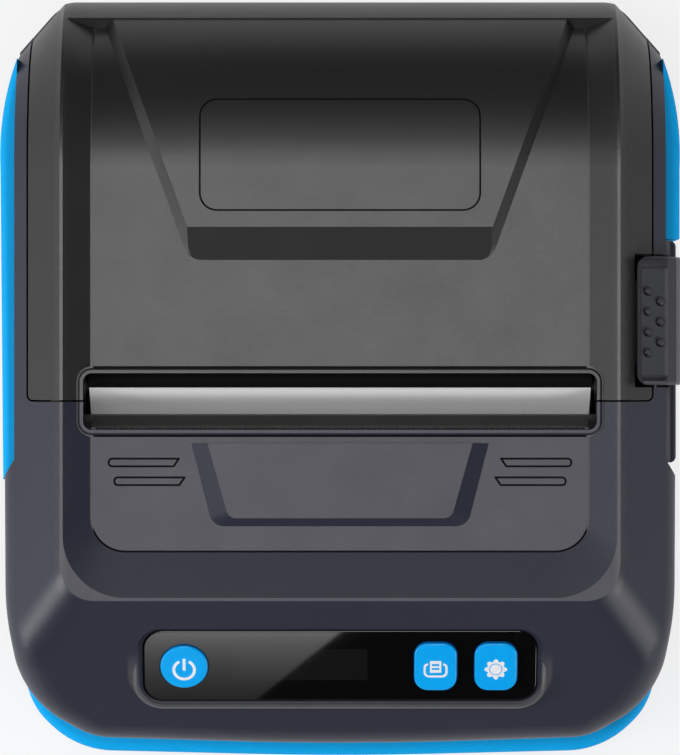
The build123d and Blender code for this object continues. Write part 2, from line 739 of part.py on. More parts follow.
def boss_places():
    """Where the case screws stand, as (x, y)."""
    inside = REAR_HALF_X - WALL - BOSS_R + 0.6
    return [(side * inside, y) for side in (-1, 1) for y in BOSS_Y]


def top_housing(skin):
    """Upper case: front crown, slot, panel and the upper side walls."""
    shell = skin & block((-60, 60), (-70, 70), (CASE_SPLIT_Z, 70))
    shell = shell + lever_bosses() + corner_bosses((CASE_SPLIT_Z, CASE_SPLIT_Z + 9))
    pin_y = (LEVER_Y[0] - 2.5, LEVER_Y[1] + 2.5)
    shell = shell - rod_y(*LEVER_PIVOT, LEVER_PIN_R + PIN_FIT, pin_y)
    for x, y in boss_places():
        shell = shell - rod_z(x, y, SCREW_R * 0.8, (CASE_SPLIT_Z - 1, CASE_SPLIT_Z + 7))
    posts = []
    for side in (-1, 1):
        post_x = side * (LENS_SIZE[0] / 2 + 0.7)
        posts.append(PANEL * rod_z(post_x, 0, 1.5, (-KEY_BOARD_DEPTH, -LENS_THICK - 0.6)))
    return shell + union(posts)


def bottom_case(skin):
    """Lower case with battery bay, boss posts and the hinge knuckles."""
    shell = skin & block((-60, 60), (-70, 70), (0, CASE_SPLIT_Z))
    bay_x = DOOR_HALF_X + BAY_FIT
    bay_y = (DOOR_Y[0], DOOR_Y[1])
    bay_top = BATTERY_TOP_Z + BAY_FIT
    out = block(
        (-bay_x - BAY_WALL, bay_x + BAY_WALL),
        (bay_y[0] - BAY_WALL, bay_y[1] + BAY_WALL),
        (CASE_BOTTOM_Z, bay_top + BAY_WALL),
    )
    shell = shell + out - block((-bay_x, bay_x), bay_y, (0, bay_top))
    shell = shell + corner_bosses((FLOOR_Z - 0.5, CASE_SPLIT_Z))
    for x, y in boss_places():
        shell = shell - rod_z(x, y, SCREW_R + 0.1, (0, CASE_SPLIT_Z + 1))
        shell = shell - rod_z(x, y, SCREW_HEAD_R + 0.2, (0, CASE_BOTTOM_Z + SCREW_DEEP))
    for x, y in post_places():
        shell = shell + rod_z(x, y, POST_R, (FLOOR_Z - 0.5, BASE_Z))
    for side in (-1, 1):
        x = tuple(sorted(side * v for v in CASE_KNUCKLE_X))
        web = block(x, (HINGE_Y - KNUCKLE_R, CASE_REAR_Y), (FLOOR_Z, HINGE_Z))
        shell = shell + hinge_rod(KNUCKLE_R, x) + web
    return shell - hinge_rod(PIN_R + PIN_FIT, (-HINGE_HALF_X, HINGE_HALF_X)) - door_cuts()


def post_places():
    """Where the mechanism and, after it, the main board stand, as (x, y)."""
    frame_x, board_x = PLATE_X - 2.7, MAIN_BOARD_HALF_X - 4.0
    places = [(side * frame_x, y) for side in (-1, 1) for y in (-20.2, PLATEN_Y)]
    ends = (MAIN_BOARD_Y[0] + 2.0, MAIN_BOARD_Y[1] - 2.5)
    return places + [(side * board_x, y) for side in (-1, 1) for y in ends]


def door_cuts():
    """Pockets and pin holes for the battery door."""
    y, z = DOOR_HINGE
    cuts = []
    for side in (-1, 1):
        x = tuple(sorted(side * v for v in DOOR_KNUCKLE_X))
        wide = (x[0] - SEAM_GAP, x[1] + SEAM_GAP)
        cuts.append(block(wide, (y - 1.7, DOOR_Y[0] + 1), (0, z + 1.6)))
        cuts.append(rod_x(y, z, DOOR_PIN_R + PIN_FIT, (x[0] - 1.6, x[1] + 1.6)))
    return union(cuts)


# Lid fittings


def lid_liner():
    """Bar and two arms under the lid that carry the platen."""
    bar = block((-ARM_X[1], ARM_X[1]), (PLATEN_Y + 5.3, PLATEN_Y + 9.0), (PLATEN_Z + 1.5, CEILING_Z))
    arms = []
    for side in (-1, 1):
        x = tuple(sorted((side * ARM_X[0], side * ARM_X[1])))
        arm = rod_x(PLATEN_Y, PLATEN_Z, BUSH_R + 2.4, x)
        arm += block(x, (PLATEN_Y - 4.0, PLATEN_Y + 9.0), (PLATEN_Z, CEILING_Z))
        arms.append(arm & hinge_rod(PLATEN_ARM + 5.0, x))
    body = bar + union(arms)
    for x in lid_screw_places():
        body = body - rod_z(x, PLATEN_Y + 7.2, SCREW_R, (PLATEN_Z, CEILING_Z + 1))
    return body - rod_x(PLATEN_Y, PLATEN_Z, BUSH_R, (-50, 50))


def lid_screw_places():
    """Where the screws of the platen bar stand along X."""
    return (-WEB_HALF_X + 10, 0, WEB_HALF_X - 10)


def lid_striker():
    """Wall behind the lever notch, with the ledge that the lever holds."""
    y = (LEVER_Y[0] - LEVER_FIT, LEVER_Y[1] + LEVER_FIT)
    x = LEVER_INNER_X - LEVER_FIT
    wall = block((x - 1.8, x - 0.1), y, (CEILING_Z - 9.7, CEILING_Z)) & inner_form()
    ledge = block((x - 0.2, x + 1.0), (y[0] + 4, y[1] - 4), (CEILING_Z - 8.8, CEILING_Z - 7.4))
    return wall + ledge


def platen_bushes():
    """The two flanged bearings at the ends of the platen."""
    rings = []
    for side in (-1, 1):
        x = tuple(sorted((side * (ARM_X[0] - 0.35), side * (PLATE_X + PLATE_THICK + 0.2))))
        flange = tuple(sorted((side * (ARM_X[0] - 0.35), side * ARM_X[0])))
        ring = rod_x(PLATEN_Y, PLATEN_Z, BUSH_R, x) + rod_x(PLATEN_Y, PLATEN_Z, BUSH_R + 0.8, flange)
        rings.append(ring - rod_x(PLATEN_Y, PLATEN_Z, SHAFT_R + BUSH_FIT, (-50, 50)))
    return group(rings)


def screw(head_r, head_h, length):
    """A screw with its head up, under-head face at z = 0."""
    head = Cylinder(head_r, head_h, align=(Align.CENTER, Align.CENTER, Align.MIN))
    shank = Cylinder(SCREW_R * 0.8, length, align=(Align.CENTER, Align.CENTER, Align.MAX))
    cross = Box(head_r * 1.2, 0.5, head_h) + Box(0.5, head_r * 1.2, head_h)
    return head + shank - Pos(0, 0, head_h) * cross


def lid_screws():
    """Screws that hold the platen bar under the lid."""
    z = PLATEN_Z + 1.5
    return group([Pos(x, PLATEN_Y + 7.2, z) * Rot(180, 0, 0) * screw(1.9, 1.1, 6.0) for x in lid_screw_places()])


# Platen and gear train


def involute(angle):
    """Involute function of a pressure angle."""
    return tan(angle) - angle


def gear(teeth, phase, x, bore):
    """A spur gear with involute flanks, axis along X through the origin."""
    press = radians(20)
    pitch = GEAR_MODULE * teeth / 2
    base = pitch * cos(press)
    tip = pitch + 0.95 * GEAR_MODULE
    root = pitch - 1.2 * GEAR_MODULE
    flank = []
    for radius in (max(base, root), pitch, tip):
        half = pi / (2 * teeth) - 0.05 / pitch + involute(press) - involute(acos(base / radius))
        flank.append((radius, max(half, 0.02)))
    flank.insert(0, (root, flank[0][1]))
    points = []
    for tooth in range(teeth):
        middle = radians(phase) + 2 * pi * tooth / teeth
        polar = [(r, middle - a) for r, a in flank] + [(r, middle + a) for r, a in reversed(flank)]
        points += [(r * cos(a), r * sin(a)) for r, a in polar]
    return along_x(points, x) - rod_x(0, 0, bore, (x[0] - 1, x[1] + 1))


def mesh_phase(angle, teeth_a, phase_a, teeth_b):
    """Phase of gear b so that it meshes with gear a, seen at an angle from a."""
    lead = (angle - phase_a) % (360 / teeth_a)
    return angle + 180 + lead * teeth_a / teeth_b + 180 / teeth_b


IDLER_PHASE = mesh_phase(IDLER_ANGLE, PLATEN_TEETH, 0, IDLER_TEETH)
PINION_PHASE = mesh_phase(PINION_ANGLE, IDLER_TEETH, IDLER_PHASE, PINION_TEETH)


def platen_roller():
    """Rubber sleeve of the platen."""
    x = (-PLATEN_HALF_X, PLATEN_HALF_X)
    return rod_x(PLATEN_Y, PLATEN_Z, PLATEN_R, x) - rod_x(PLATEN_Y, PLATEN_Z, SHAFT_R, x)


def platen_shaft():
    """Steel shaft through the platen, bushes and gear."""
    return rod_x(PLATEN_Y, PLATEN_Z, SHAFT_R, (GEAR_X[0] - 0.4, PLATE_X + PLATE_THICK + 0.6))


def platen_gear():
    """Gear on the left end of the platen shaft."""
    return Pos(0, PLATEN_Y, PLATEN_Z) * gear(PLATEN_TEETH, 0, GEAR_X, SHAFT_R)


def idler_gear():
    """Gear between motor pinion and platen, with three lightening holes."""
    wheel = gear(IDLER_TEETH, IDLER_PHASE, GEAR_X, AXLE_R + BUSH_FIT)
    for angle in (0, 120, 240):
        y, z = 4.2 * cos(radians(angle)), 4.2 * sin(radians(angle))
        wheel = wheel - rod_x(y, z, 1.3, (GEAR_X[0] - 1, GEAR_X[1] + 1))
    return Pos(0, IDLER_Y, IDLER_Z) * wheel


def idler_axle():
    """Headed axle of the idler, riveted into the left plate."""
    shaft = rod_x(0, 0, AXLE_R, (GEAR_X[0] - 0.2, -PLATE_X))
    head = rod_x(0, 0, AXLE_R + 0.8, (GEAR_X[0] - 0.7, GEAR_X[0] - 0.2))
    collar = rod_x(0, 0, AXLE_R + 0.7, (-PLATE_X - PLATE_THICK - 0.5, -PLATE_X - PLATE_THICK))
    return Pos(0, IDLER_Y, IDLER_Z) * (shaft + head + collar)


def motor_pinion():
    """Pinion on the motor shaft."""
    return Pos(0, PINION_Y, PINION_Z) * gear(PINION_TEETH, PINION_PHASE, GEAR_X, MOTOR_SHAFT_R)


def motor_shaft():
    """Shaft of the stepper motor."""
    return rod_x(PINION_Y, PINION_Z, MOTOR_SHAFT_R, (GEAR_X[0] - 0.4, MOTOR_X[1] - 4))


def stepper_motor():
    """Round can motor with its mounting ears, screwed to the left plate."""
    can = rod_x(0, 0, MOTOR_R, MOTOR_X)
    can = fillet(can.edges().filter_by(GeomType.CIRCLE), 0.6)
    collar = rod_x(0, 0, 2.6, (-PLATE_X, MOTOR_X[0]))
    ears = block((-PLATE_X, MOTOR_X[0]), (-10.5, 10.5), (-3, 3)) + rod_x(0, 0, MOTOR_R, (-PLATE_X, MOTOR_X[0]))
    body = can + collar + ears - rod_x(0, 0, MOTOR_SHAFT_R + PIN_FIT, (-PLATE_X - 1, MOTOR_X[1] - 3.5))
    return Pos(0, PINION_Y, PINION_Z) * body


def slot_for_bush():
    """The open slot in a side plate, along the way that the lid swings."""
    width = 2 * (BUSH_R + 0.1)
    way = Pos(0, PLATEN_Y, PLATEN_Z) * Rot(degrees(NIP_TURN) - 180, 0, 0) * Pos(0, 0, 10) * Box(200, width, 20)
    return way + rod_x(PLATEN_Y, PLATEN_Z, width / 2, (-100, 100))


def mechanism_frame():
    """Bent steel frame: slotted side plates, base and the wall behind the head springs."""
    outline = [
        (-22.5, BASE_Z),
        (5.0, BASE_Z),
        (5.0, PLATEN_Z + 1.0),
        (3.4, PLATEN_Z + 5.5),
        (-16.0, PLATEN_Z + 6.0),
        (-22.5, PLATEN_Z - 2.0),
    ]
    plates = []
    for side in (-1, 1):
        x = tuple(sorted((side * PLATE_X, side * (PLATE_X + PLATE_THICK))))
        plates.append(along_x(outline, x) - slot_for_bush())
    wide = PLATE_X + PLATE_THICK
    base = block((-wide, wide), (-22.5, 1.5), (BASE_Z, BASE_Z + PLATE_THICK))
    wall = HEAD * block((-PLATE_X, PLATE_X), (-11.5, 0.5), (SPRING_SEAT, SPRING_SEAT + PLATE_THICK))
    frame = union(plates) + base + wall
    frame = frame - rod_x(PINION_Y, PINION_Z, 3.2, (-wide - 1, -PLATE_X + 0.1))
    frame = frame - rod_x(IDLER_Y, IDLER_Z, AXLE_R, (-wide - 1, -PLATE_X + 0.1))
    frame = frame - HEAD * rod_x(*HEAD_PIVOT, HEAD_PIVOT_R, (-wide - 1, wide + 1))
    for x, y in post_places()[:4]:
        frame = frame - rod_z(x, y, SCREW_R, (BASE_Z - 1, BASE_Z + 2))
    return frame


def mechanism_screws():
    """Screws through the frame base into the posts."""
    return group([Pos(x, y, BASE_Z + PLATE_THICK) * screw(1.9, 1.1, 0.95) for x, y in post_places()[:4]])


def head_strip():
    """Ceramic strip of the thermal head, square to the platen at the nip."""
    return HEAD * block((-HEAD_HALF_X, HEAD_HALF_X), (-9.0, 1.0), (0, HEAD_THICK))


def head_heatsink():
    """Aluminium plate behind the strip, with ribs and the pivot lugs."""
    back = HEAD_THICK + SINK_THICK
    sink = block((-HEAD_HALF_X, HEAD_HALF_X), (-11.0, 0.6), (HEAD_THICK, back))
    for y in (-7.5, -5.0):
        sink += block((-HEAD_HALF_X + 2, HEAD_HALF_X - 2), (y, y + 0.9), (back, back + 1.4))
    for x in (-HEAD_HALF_X + 7.8, -8, 8, HEAD_HALF_X - 7.8):
        sink += block((x - 2, x + 2), (-11.0, -7.8), (back, HEAD_PIVOT[1] + 2.2))
    for x in (-SPRING_X, SPRING_X):
        sink += rod_z(x, -1.6, 0.8, (back, back + 1.2))
    return HEAD * (sink - rod_x(*HEAD_PIVOT, HEAD_PIVOT_R + PIN_FIT, (-60, 60)))


def head_pivot_shaft():
    """Shaft that the head rocks on, held in both side plates."""
    reach = PLATE_X + PLATE_THICK + 0.4
    return HEAD * rod_x(*HEAD_PIVOT, HEAD_PIVOT_R, (-reach, reach))


def coil_spring(name, radius, wire, length, turns):
    """One unbroken coil along +Z, its ends at 0 and the length, with its least gap to itself printed."""
    pitch = (length - wire) / turns
    path = Helix(pitch=pitch, height=pitch * turns, radius=radius)
    points = [path @ (n / (24 * turns)) for n in range(24 * turns + 1)]
    apart = min((points[a] - points[b]).length for a in range(len(points)) for b in range(a + 16, len(points)))
    print(name, "least gap to itself:", round(apart - wire, 3), "mm")
    section = Plane(path @ 0, z_dir=path % 0) * Circle(wire / 2)
    return Pos(0, 0, wire / 2) * sweep(section, path=path)


def head_springs():
    """Two coil springs that press the head on the platen."""
    back = HEAD_THICK + SINK_THICK
    length = SPRING_SEAT - back - 2 * SPRING_END_GAP
    coil = coil_spring("head_springs", SPRING_R, SPRING_WIRE, length, SPRING_TURNS)
    return group([HEAD * (Pos(x, -1.6, back + SPRING_END_GAP) * coil) for x in (-SPRING_X, SPRING_X)])


def tear_bar():
    """Tear-off bar at the front lip of the slot, bent down towards the head."""
    front = SLOT_FRONT_Y + TEAR_BAR_FIT
    lip = DISH_FLOOR_Z - 0.2
    thick = TEAR_BAR_THICK
    shape = [
        (front, CEILING_Z - 1.0),
        (front, lip),
        (front + thick / 2, lip),
        (front + thick, CEILING_Z - 0.9),
        (front + 2.2, CEILING_Z - 4.3),
        (front + 1.5, CEILING_Z - 4.6),
        (front - 0.4, CEILING_Z - 1.0),
    ]
    half = WEB_HALF_X + 0.8
    flange = block((-half, half), (front - 4.5, front), (CEILING_Z - 1.0, CEILING_Z))
    return along_x(shape, (-WEB_HALF_X + 0.3, WEB_HALF_X - 0.3)) + flange


def web_run():
    """Ends of the straight run: its unit normal and the web's inner radii."""
    dy, dz = PLATEN_Y - ROLL_Y, PLATEN_Z - ROLL_Z
    roll_r, platen_r = ROLL_R + WEB_CLEAR, PLATEN_R + WEB_CLEAR
    turn = atan2(dz, dy) + acos((roll_r - platen_r) / hypot(dy, dz))
    return turn, roll_r, platen_r


def label_web():
    """Printed web from the roll, round the platen and out of the slot."""
    turn, roll_r, platen_r = web_run()
    start = degrees(NIP_TURN)
    tip = 180 - degrees(asin_ratio((WEB_TIP_Z - HINGE_Z) / WEB_IN_R))
    edges = []
    ends = []
    for extra in (0, WEB_THICK):
        edges.append(CenterArc((HINGE_Y, HINGE_Z), WEB_IN_R + extra, tip, start - tip))
        edges.append(CenterArc((PLATEN_Y, PLATEN_Z), platen_r + extra, start, degrees(turn) - start))
        a = Vector(PLATEN_Y, PLATEN_Z) + Vector(cos(turn), sin(turn)) * (platen_r + extra)
        b = Vector(ROLL_Y, ROLL_Z) + Vector(cos(turn), sin(turn)) * (roll_r + extra)
        edges.append(Line(a, b))
        ends.append((edges[-3] @ 0, b))
    edges.append(Line(ends[0][0], ends[1][0]))
    edges.append(Line(ends[0][1], ends[1][1]))
    face = Plane((-WEB_HALF_X, 0, 0), x_dir=(0, 1, 0), z_dir=(1, 0, 0)) * make_face(edges)
    return extrude(face, amount=2 * WEB_HALF_X, dir=(1, 0, 0))


def asin_ratio(value):
    """Angle whose sine is the value, in radians."""
    return atan2(value, (1 - value * value) ** 0.5)


def paper_sensor():
    """Gap sensor close under the web, on its bracket."""
    turn, roll_r, platen_r = web_run()
    y = (PLATEN_Y + ROLL_Y) / 2 + cos(turn) * (roll_r + platen_r) / 2
    z = (PLATEN_Z + ROLL_Z) / 2 + sin(turn) * (roll_r + platen_r) / 2
    place = Plane((0, y, z), x_dir=(1, 0, 0), z_dir=(0, cos(turn), sin(turn)))
    eye = place * block((-6, 6), (-3.5, 3.5), (WEB_THICK + 0.5, 3.2))
    base = BASE_Z + PLATE_THICK
    post = block((-4, 4), (y - 3.6, y - 2.2), (base, z - 1.2))
    foot = block((-4, 4), (-3.0, y - 2.2), (base, base + 1.0))
    return eye + post + foot


# Roll and its holders


def label_roll():
    """The wound labels."""
    x = (-ROLL_HALF_X, ROLL_HALF_X)
    return rod_x(ROLL_Y, ROLL_Z, ROLL_R, x) - rod_x(ROLL_Y, ROLL_Z, CORE_R, x)


def roll_core():
    """Cardboard core."""
    x = (-ROLL_HALF_X, ROLL_HALF_X)
    return rod_x(ROLL_Y, ROLL_Z, CORE_R, x) - rod_x(ROLL_Y, ROLL_Z, CORE_BORE_R, x)


def roll_guide(side):
    """One holder: disc, hub in the core, and a foot over the rail."""
    x = tuple(sorted((side * GUIDE_X[0], side * GUIDE_X[1])))
    hub = tuple(sorted((side * (GUIDE_X[0] - GUIDE_HUB_DEEP), side * GUIDE_X[0])))
    disc = rod_x(ROLL_Y, ROLL_Z, GUIDE_DISC_R, x)
    stem = block(x, (ROLL_Y - 6, ROLL_Y + 6), (RAIL_TOP_Z + 0.3, ROLL_Z))
    holder = disc + stem + rod_x(ROLL_Y, ROLL_Z, GUIDE_HUB_R, hub)
    for y in (ROLL_Y - RAIL_HALF_Y - 0.4 - 1.5, ROLL_Y + RAIL_HALF_Y + 0.4):
        holder += block(x, (y, y + 1.5), (RAIL_TOP_Z - 0.6, RAIL_TOP_Z + 1))
    hollow = tuple(sorted((side * (GUIDE_X[0] - GUIDE_HUB_DEEP - 1), side * (GUIDE_X[1] + 1))))
    return holder - rod_x(ROLL_Y, ROLL_Z, GUIDE_HUB_R - 1.5, hollow)


def roll_cradle():
    """Tub under the roll with its end walls and the guide rails."""
    inner, outer = CRADLE_WALL_X
    rear = ROLL_Y + CRADLE_WALL[1][0] * ROLL_R
    turn, roll_r, platen_r = web_run()
    top = ROLL_Z + roll_r * sin(turn) + CRADLE_OVER
    tub = block((-outer, outer), (ROLL_Y - ROLL_R - 2.7, rear), (FLOOR_Z, top))
    tub = tub - rod_x(ROLL_Y, ROLL_Z, ROLL_R + CRADLE_CLEAR, (-inner, inner))
    wall = [(ROLL_Y + y * ROLL_R, ROLL_Z + z * ROLL_R) for y, z in CRADLE_WALL]
    walls = both(along_x(wall, (inner, outer)))
    rail_y = (ROLL_Y - RAIL_HALF_Y, ROLL_Y + RAIL_HALF_Y)
    rails = both(block((GUIDE_X[0] - 0.2, inner + 0.2), rail_y, (FLOOR_Z + 0.4, RAIL_TOP_Z)))
    far = CASE_REAR_Y
    knuckle_x = (CASE_KNUCKLE_X[0] - 0.4, outer + 1)
    knuckles = both(block(knuckle_x, (HINGE_Y - KNUCKLE_R - 0.4, far), (0, HINGE_Z + 12)))
    barrel_x = (-CASE_KNUCKLE_X[0], CASE_KNUCKLE_X[0])
    barrel = block(barrel_x, (HINGE_Y - HINGE_SWEEP_R, far), (HINGE_Z - 6.5, HINGE_Z + 12))
    return tub + walls + rails - knuckles - barrel


# Buttons, lens and boards


def panel_lens():
    """Glossy lens with the button openings."""
    half_x, half_y = LENS_SIZE[0] / 2, LENS_SIZE[1] / 2
    lens = pad((-half_x, half_x), (-half_y, half_y), (-LENS_THICK, 0), LENS_CORNER)
    lens = fillet(lens.faces().sort_by(Axis.Z)[-1].edges(), LENS_EDGE_ROUND)
    lens = lens - rod_z(POWER_X, 0, POWER_R + BUTTON_FIT, (-5, 5))
    for x in (FEED_X, SETUP_X):
        kx, ky = KEY_SIZE[0] / 2 + BUTTON_FIT, KEY_SIZE[1] / 2 + BUTTON_FIT
        lens = lens - pad((x - kx, x + kx), (-ky, ky), (-5, 5), KEY_CORNER + BUTTON_FIT)
    return PANEL * lens


def button_levels():
    """Heights of a button in the panel plane: flange bottom, flange top, cap top."""
    top = -LENS_THICK - BUTTON_FIT
    return top - 0.6, top, BUTTON_PROUD


def power_button():
    """Round button with its flange under the lens."""
    low, step, top = button_levels()
    cap = rod_z(POWER_X, 0, POWER_R, (step, top))
    cap = fillet(cap.faces().sort_by(Axis.Z)[-1].edges(), BUTTON_EDGE_ROUND)
    return PANEL * (cap + rod_z(POWER_X, 0, POWER_R + BUTTON_FLANGE, (low, step)))


def key_button(x):
    """Square button with its flange under the lens."""
    low, step, top = button_levels()
    kx, ky = KEY_SIZE[0] / 2, KEY_SIZE[1] / 2
    cap = pad((x - kx, x + kx), (-ky, ky), (step, top), KEY_CORNER)
    cap = fillet(cap.faces().sort_by(Axis.Z)[-1].edges(), BUTTON_EDGE_ROUND)
    edge = BUTTON_FLANGE
    flange = pad((x - kx - edge, x + kx + edge), (-ky - edge, ky + edge), (low, step), KEY_CORNER)
    return PANEL * (cap + flange)


def key_board():
    """Circuit board under the buttons."""
    half_x = LENS_SIZE[0] / 2 + KEY_BOARD_SIDE
    top = -KEY_BOARD_DEPTH
    y = (-KEY_BOARD_HALF_Y, KEY_BOARD_HALF_Y)
    return PANEL * pad((-half_x, half_x), y, (top - BOARD_THICK, top), 1.0)


def tact_switches():
    """A switch under each button."""
    low = button_levels()[0] - BUTTON_TRAVEL - 0.1
    base = -KEY_BOARD_DEPTH
    bodies = []
    for x in (POWER_X, FEED_X, SETUP_X):
        body = block((x - 2.2, x + 2.2), (-2.2, 2.2), (base, low - 0.3))
        bodies.append(PANEL * (body + rod_z(x, 0, 1.0, (low - 0.4, low))))
    return group(bodies)


def display_module():
    """Small display under the dark window."""
    base = -KEY_BOARD_DEPTH
    return PANEL * block(DISPLAY_X, (-DISPLAY_HALF_Y, DISPLAY_HALF_Y), (base, -LENS_THICK - 0.2))


def main_board():
    """Main circuit board with its larger chips, each given by place, size and height."""
    half = MAIN_BOARD_HALF_X
    board = block((-half, half), MAIN_BOARD_Y, (MAIN_BOARD_Z, BOARD_TOP_Z))
    chips = [(-20, -38, 12, 12, 1.4), (4, -36, 8, 10, 1.2), (22, -40, 14, 9, 2.4)]
    chips += [(-half + 8.5, -30, 6, 5, 3.0), (14, -29, 10, 4, 4.0)]
    for x, y, width, depth, high in chips:
        place = (x - width / 2, x + width / 2), (y - depth / 2, y + depth / 2)
        board += block(*place, (BOARD_TOP_Z - 0.1, BOARD_TOP_Z + high))
    return board


def usb_connector():
    """Charging socket at the right wall."""
    z = BOARD_TOP_Z
    shell = pad(USB_X, USB_Y, (z, z + USB_HIGH), 0.4)
    inside = (USB_Y[0] + 0.4, USB_Y[1] - 0.4)
    mouth = block((USB_X[0] + 3.5, USB_X[1] + 1.0), inside, (z + 0.4, z + USB_HIGH - 0.4))
    tongue_y = (USB_Y[0] + 1.4, USB_Y[1] - 1.4)
    tongue = block((USB_X[0] + 3.0, USB_X[1] - 0.8), tongue_y, (z + 1.2, z + 2.0))
    return shell - mouth + tongue


def usb_port():
    """Opening in the wall in front of the socket."""
    z = BOARD_TOP_Z
    y = (USB_Y[0] - 0.3, USB_Y[1] + 0.3)
    return block((USB_X[1] - 3.0, CASE_HALF_X + 5), y, (z - 0.1, z + USB_HIGH + 0.2))


def buzzer():
    """Round buzzer on the main board."""
    x, y, z = MAIN_BOARD_HALF_X - 6.5, -29, BOARD_TOP_Z
    return rod_z(x, y, 4.2, (z, z + 3.4)) - rod_z(x, y, 0.8, (z + 2.4, z + 4))


# Lever, bumpers, battery and feet


def lever_section():
    """Section of the lever's head and arm, as (x, z) points, and the slope of its grip."""
    x, z = LEVER_PIVOT
    top = CASE_TOP_Z
    inner, outer = LEVER_INNER_X, LEVER_OUTER_X
    points = [
        (inner, top - 4.8),
        (inner, top - 2.3),
        (inner + 0.9, top - 1.7),
        (outer - 2.3, top - 3.4),
        (outer - 0.8, top - 5.2),
        (outer, top - 8.4),
        (outer, top - 11.8),
        (outer - 0.8, top - 12.8),
        (x + 1.0, top - 13.8),
        (x + 1.0, z),
        (x - 1.5, z),
        (x - 1.5, top - 9.6),
    ]
    high, low = points[2], points[3]
    return points, atan2(high[1] - low[1], low[0] - high[0])


def grip_plane():
    """Plane of the grip: origin at its high inner edge, x down the slope, y along the lever."""
    points, slope = lever_section()
    return Plane((points[2][0], 0, points[2][1]), x_dir=(cos(slope), 0, -sin(slope)), z_dir=(sin(slope), 0, cos(slope)))


def release_lever():
    """Side lever: grip with its sunken pad, arm, and barrel on the pin."""
    x, z = LEVER_PIVOT
    points, slope = lever_section()
    body = along_y(points, LEVER_Y)
    ends = body.edges().filter_by(lambda e: e.center().Z > CASE_TOP_Z - 7 and abs(e.tangent_at(0.5).Y) < 0.1)
    plan = pad((LEVER_INNER_X, LEVER_OUTER_X + 5), LEVER_Y, (z - 3, CASE_TOP_Z), LEVER_CORNER)
    body = fillet(ends, 0.7) & plan
    body += rod_y(x, z, LEVER_BARREL_R, LEVER_Y)
    nose_y = (LEVER_Y[0] + 4.5, LEVER_Y[1] - 4.5)
    body += block((LEVER_INNER_X + 1.2, x), nose_y, (CASE_TOP_Z - 10.6, CASE_TOP_Z - 9.0))
    body = body - block((x - 3, x + 3), LEVER_SPRING_Y, (z - 3, z + 3.4))
    body = body - rod_y(x, z, LEVER_PIN_R + PIN_FIT, (LEVER_Y[0] - 1, LEVER_Y[1] + 1))
    start = points[2][0]
    pad_x = [(v - start) / cos(slope) for v in LEVER_PAD_X]
    low = Pos(0, 0, -LEVER_PAD_DEPTH) * pad_face(pad_x, LEVER_PAD_Y, 0.5)
    high = pad_face((pad_x[0] - 0.4, pad_x[1] + 0.4), (LEVER_PAD_Y[0] - 0.4, LEVER_PAD_Y[1] + 0.4), 0.9)
    sunk = loft([low, high], ruled=True) + extrude(high, amount=1)
    return body - grip_plane() * sunk + union(grip_dots())


def pad_face(x, y, radius):
    """A rounded rectangle between the limits given for x and y."""
    return Pos((x[0] + x[1]) / 2, (y[0] + y[1]) / 2) * RectangleRounded(x[1] - x[0], y[1] - y[0], radius)


def grip_dots():
    """Raised domed dots on the pad, in two staggered columns."""
    points, slope = lever_section()
    first = (LEVER_PAD_Y[0] + 4.1, LEVER_PAD_Y[0] + 4.1 + DOT_PITCH / 2)
    dot = Cylinder(DOT_R, 1.0)
    dot = fillet(dot.faces().sort_by(Axis.Z)[-1].edges(), DOT_R * 0.6)
    dots = []
    for column, count, start in zip(DOT_X, (4, 3), first):
        x = (column - points[2][0]) / cos(slope)
        for row in range(count):
            dots.append(grip_plane() * (Pos(x, start + row * DOT_PITCH, -LEVER_PAD_DEPTH) * dot))
    return dots


def lever_pin():
    """Pin of the release lever."""
    return rod_y(*LEVER_PIVOT, LEVER_PIN_R, (LEVER_Y[0] - 2.4, LEVER_Y[1] + 2.4))


def lever_spring():
    """Torsion spring round the lever pin."""
    length = LEVER_SPRING_Y[1] - LEVER_SPRING_Y[0] - 2 * LEVER_SPRING_END_GAP
    coil = coil_spring("lever_spring", LEVER_SPRING_R, LEVER_SPRING_WIRE, length, LEVER_SPRING_TURNS)
    x, z = LEVER_PIVOT
    return Pos(x, LEVER_SPRING_Y[0] + LEVER_SPRING_END_GAP, z) * Rot(-90, 0, 0) * coil


def side_bumper(side):
    """Side bumper from the step to the rear corner; the right one stops at the guard."""
    front = GUARD_REAR_Y + SEAM_GAP if side > 0 else STEP_Y + STEP_RUN
    inner, out = REAR_HALF_X, BUMPER_OUT_X
    front_out = out if side > 0 else BUMPER_FRONT_X
    nose = front if side > 0 else front - STEP_RUN * (front_out - inner) / (CASE_HALF_X - inner) * 0.95
    rear = BUMPER_REAR_Y
    edges = [
        Line((inner, front), (inner, rear)),
        ThreePointArc((inner, rear), (out - 1.15, rear - 5.2), (out, rear - 18.0)),
        Line((out, rear - 18.0), (front_out, nose)),
        Line((front_out, nose), (inner, front)),
    ]
    face = Pos(0, 0, BUMPER_Z[0]) * make_face(edges)
    high = BUMPER_Z[1] - BUMPER_Z[0]
    body = extrude(face, amount=high)
    rims = body.edges().filter_by(lambda e: abs(e.center().X) > out - 1.4 and abs(e.tangent_at(0.5).Z) < 0.1)
    rims = rims.filter_by(lambda e: e.length > 6)
    body = fillet(rims, BUMPER_ROUND)
    for share in (0.3, 0.45, 0.6):
        z = BUMPER_Z[0] + share * high
        body = body - block((out - 0.7, out + 1), (front + 6, rear - 10.5), (z, z + 1.2))
    return body if side > 0 else mirror(body, about=Plane.YZ)


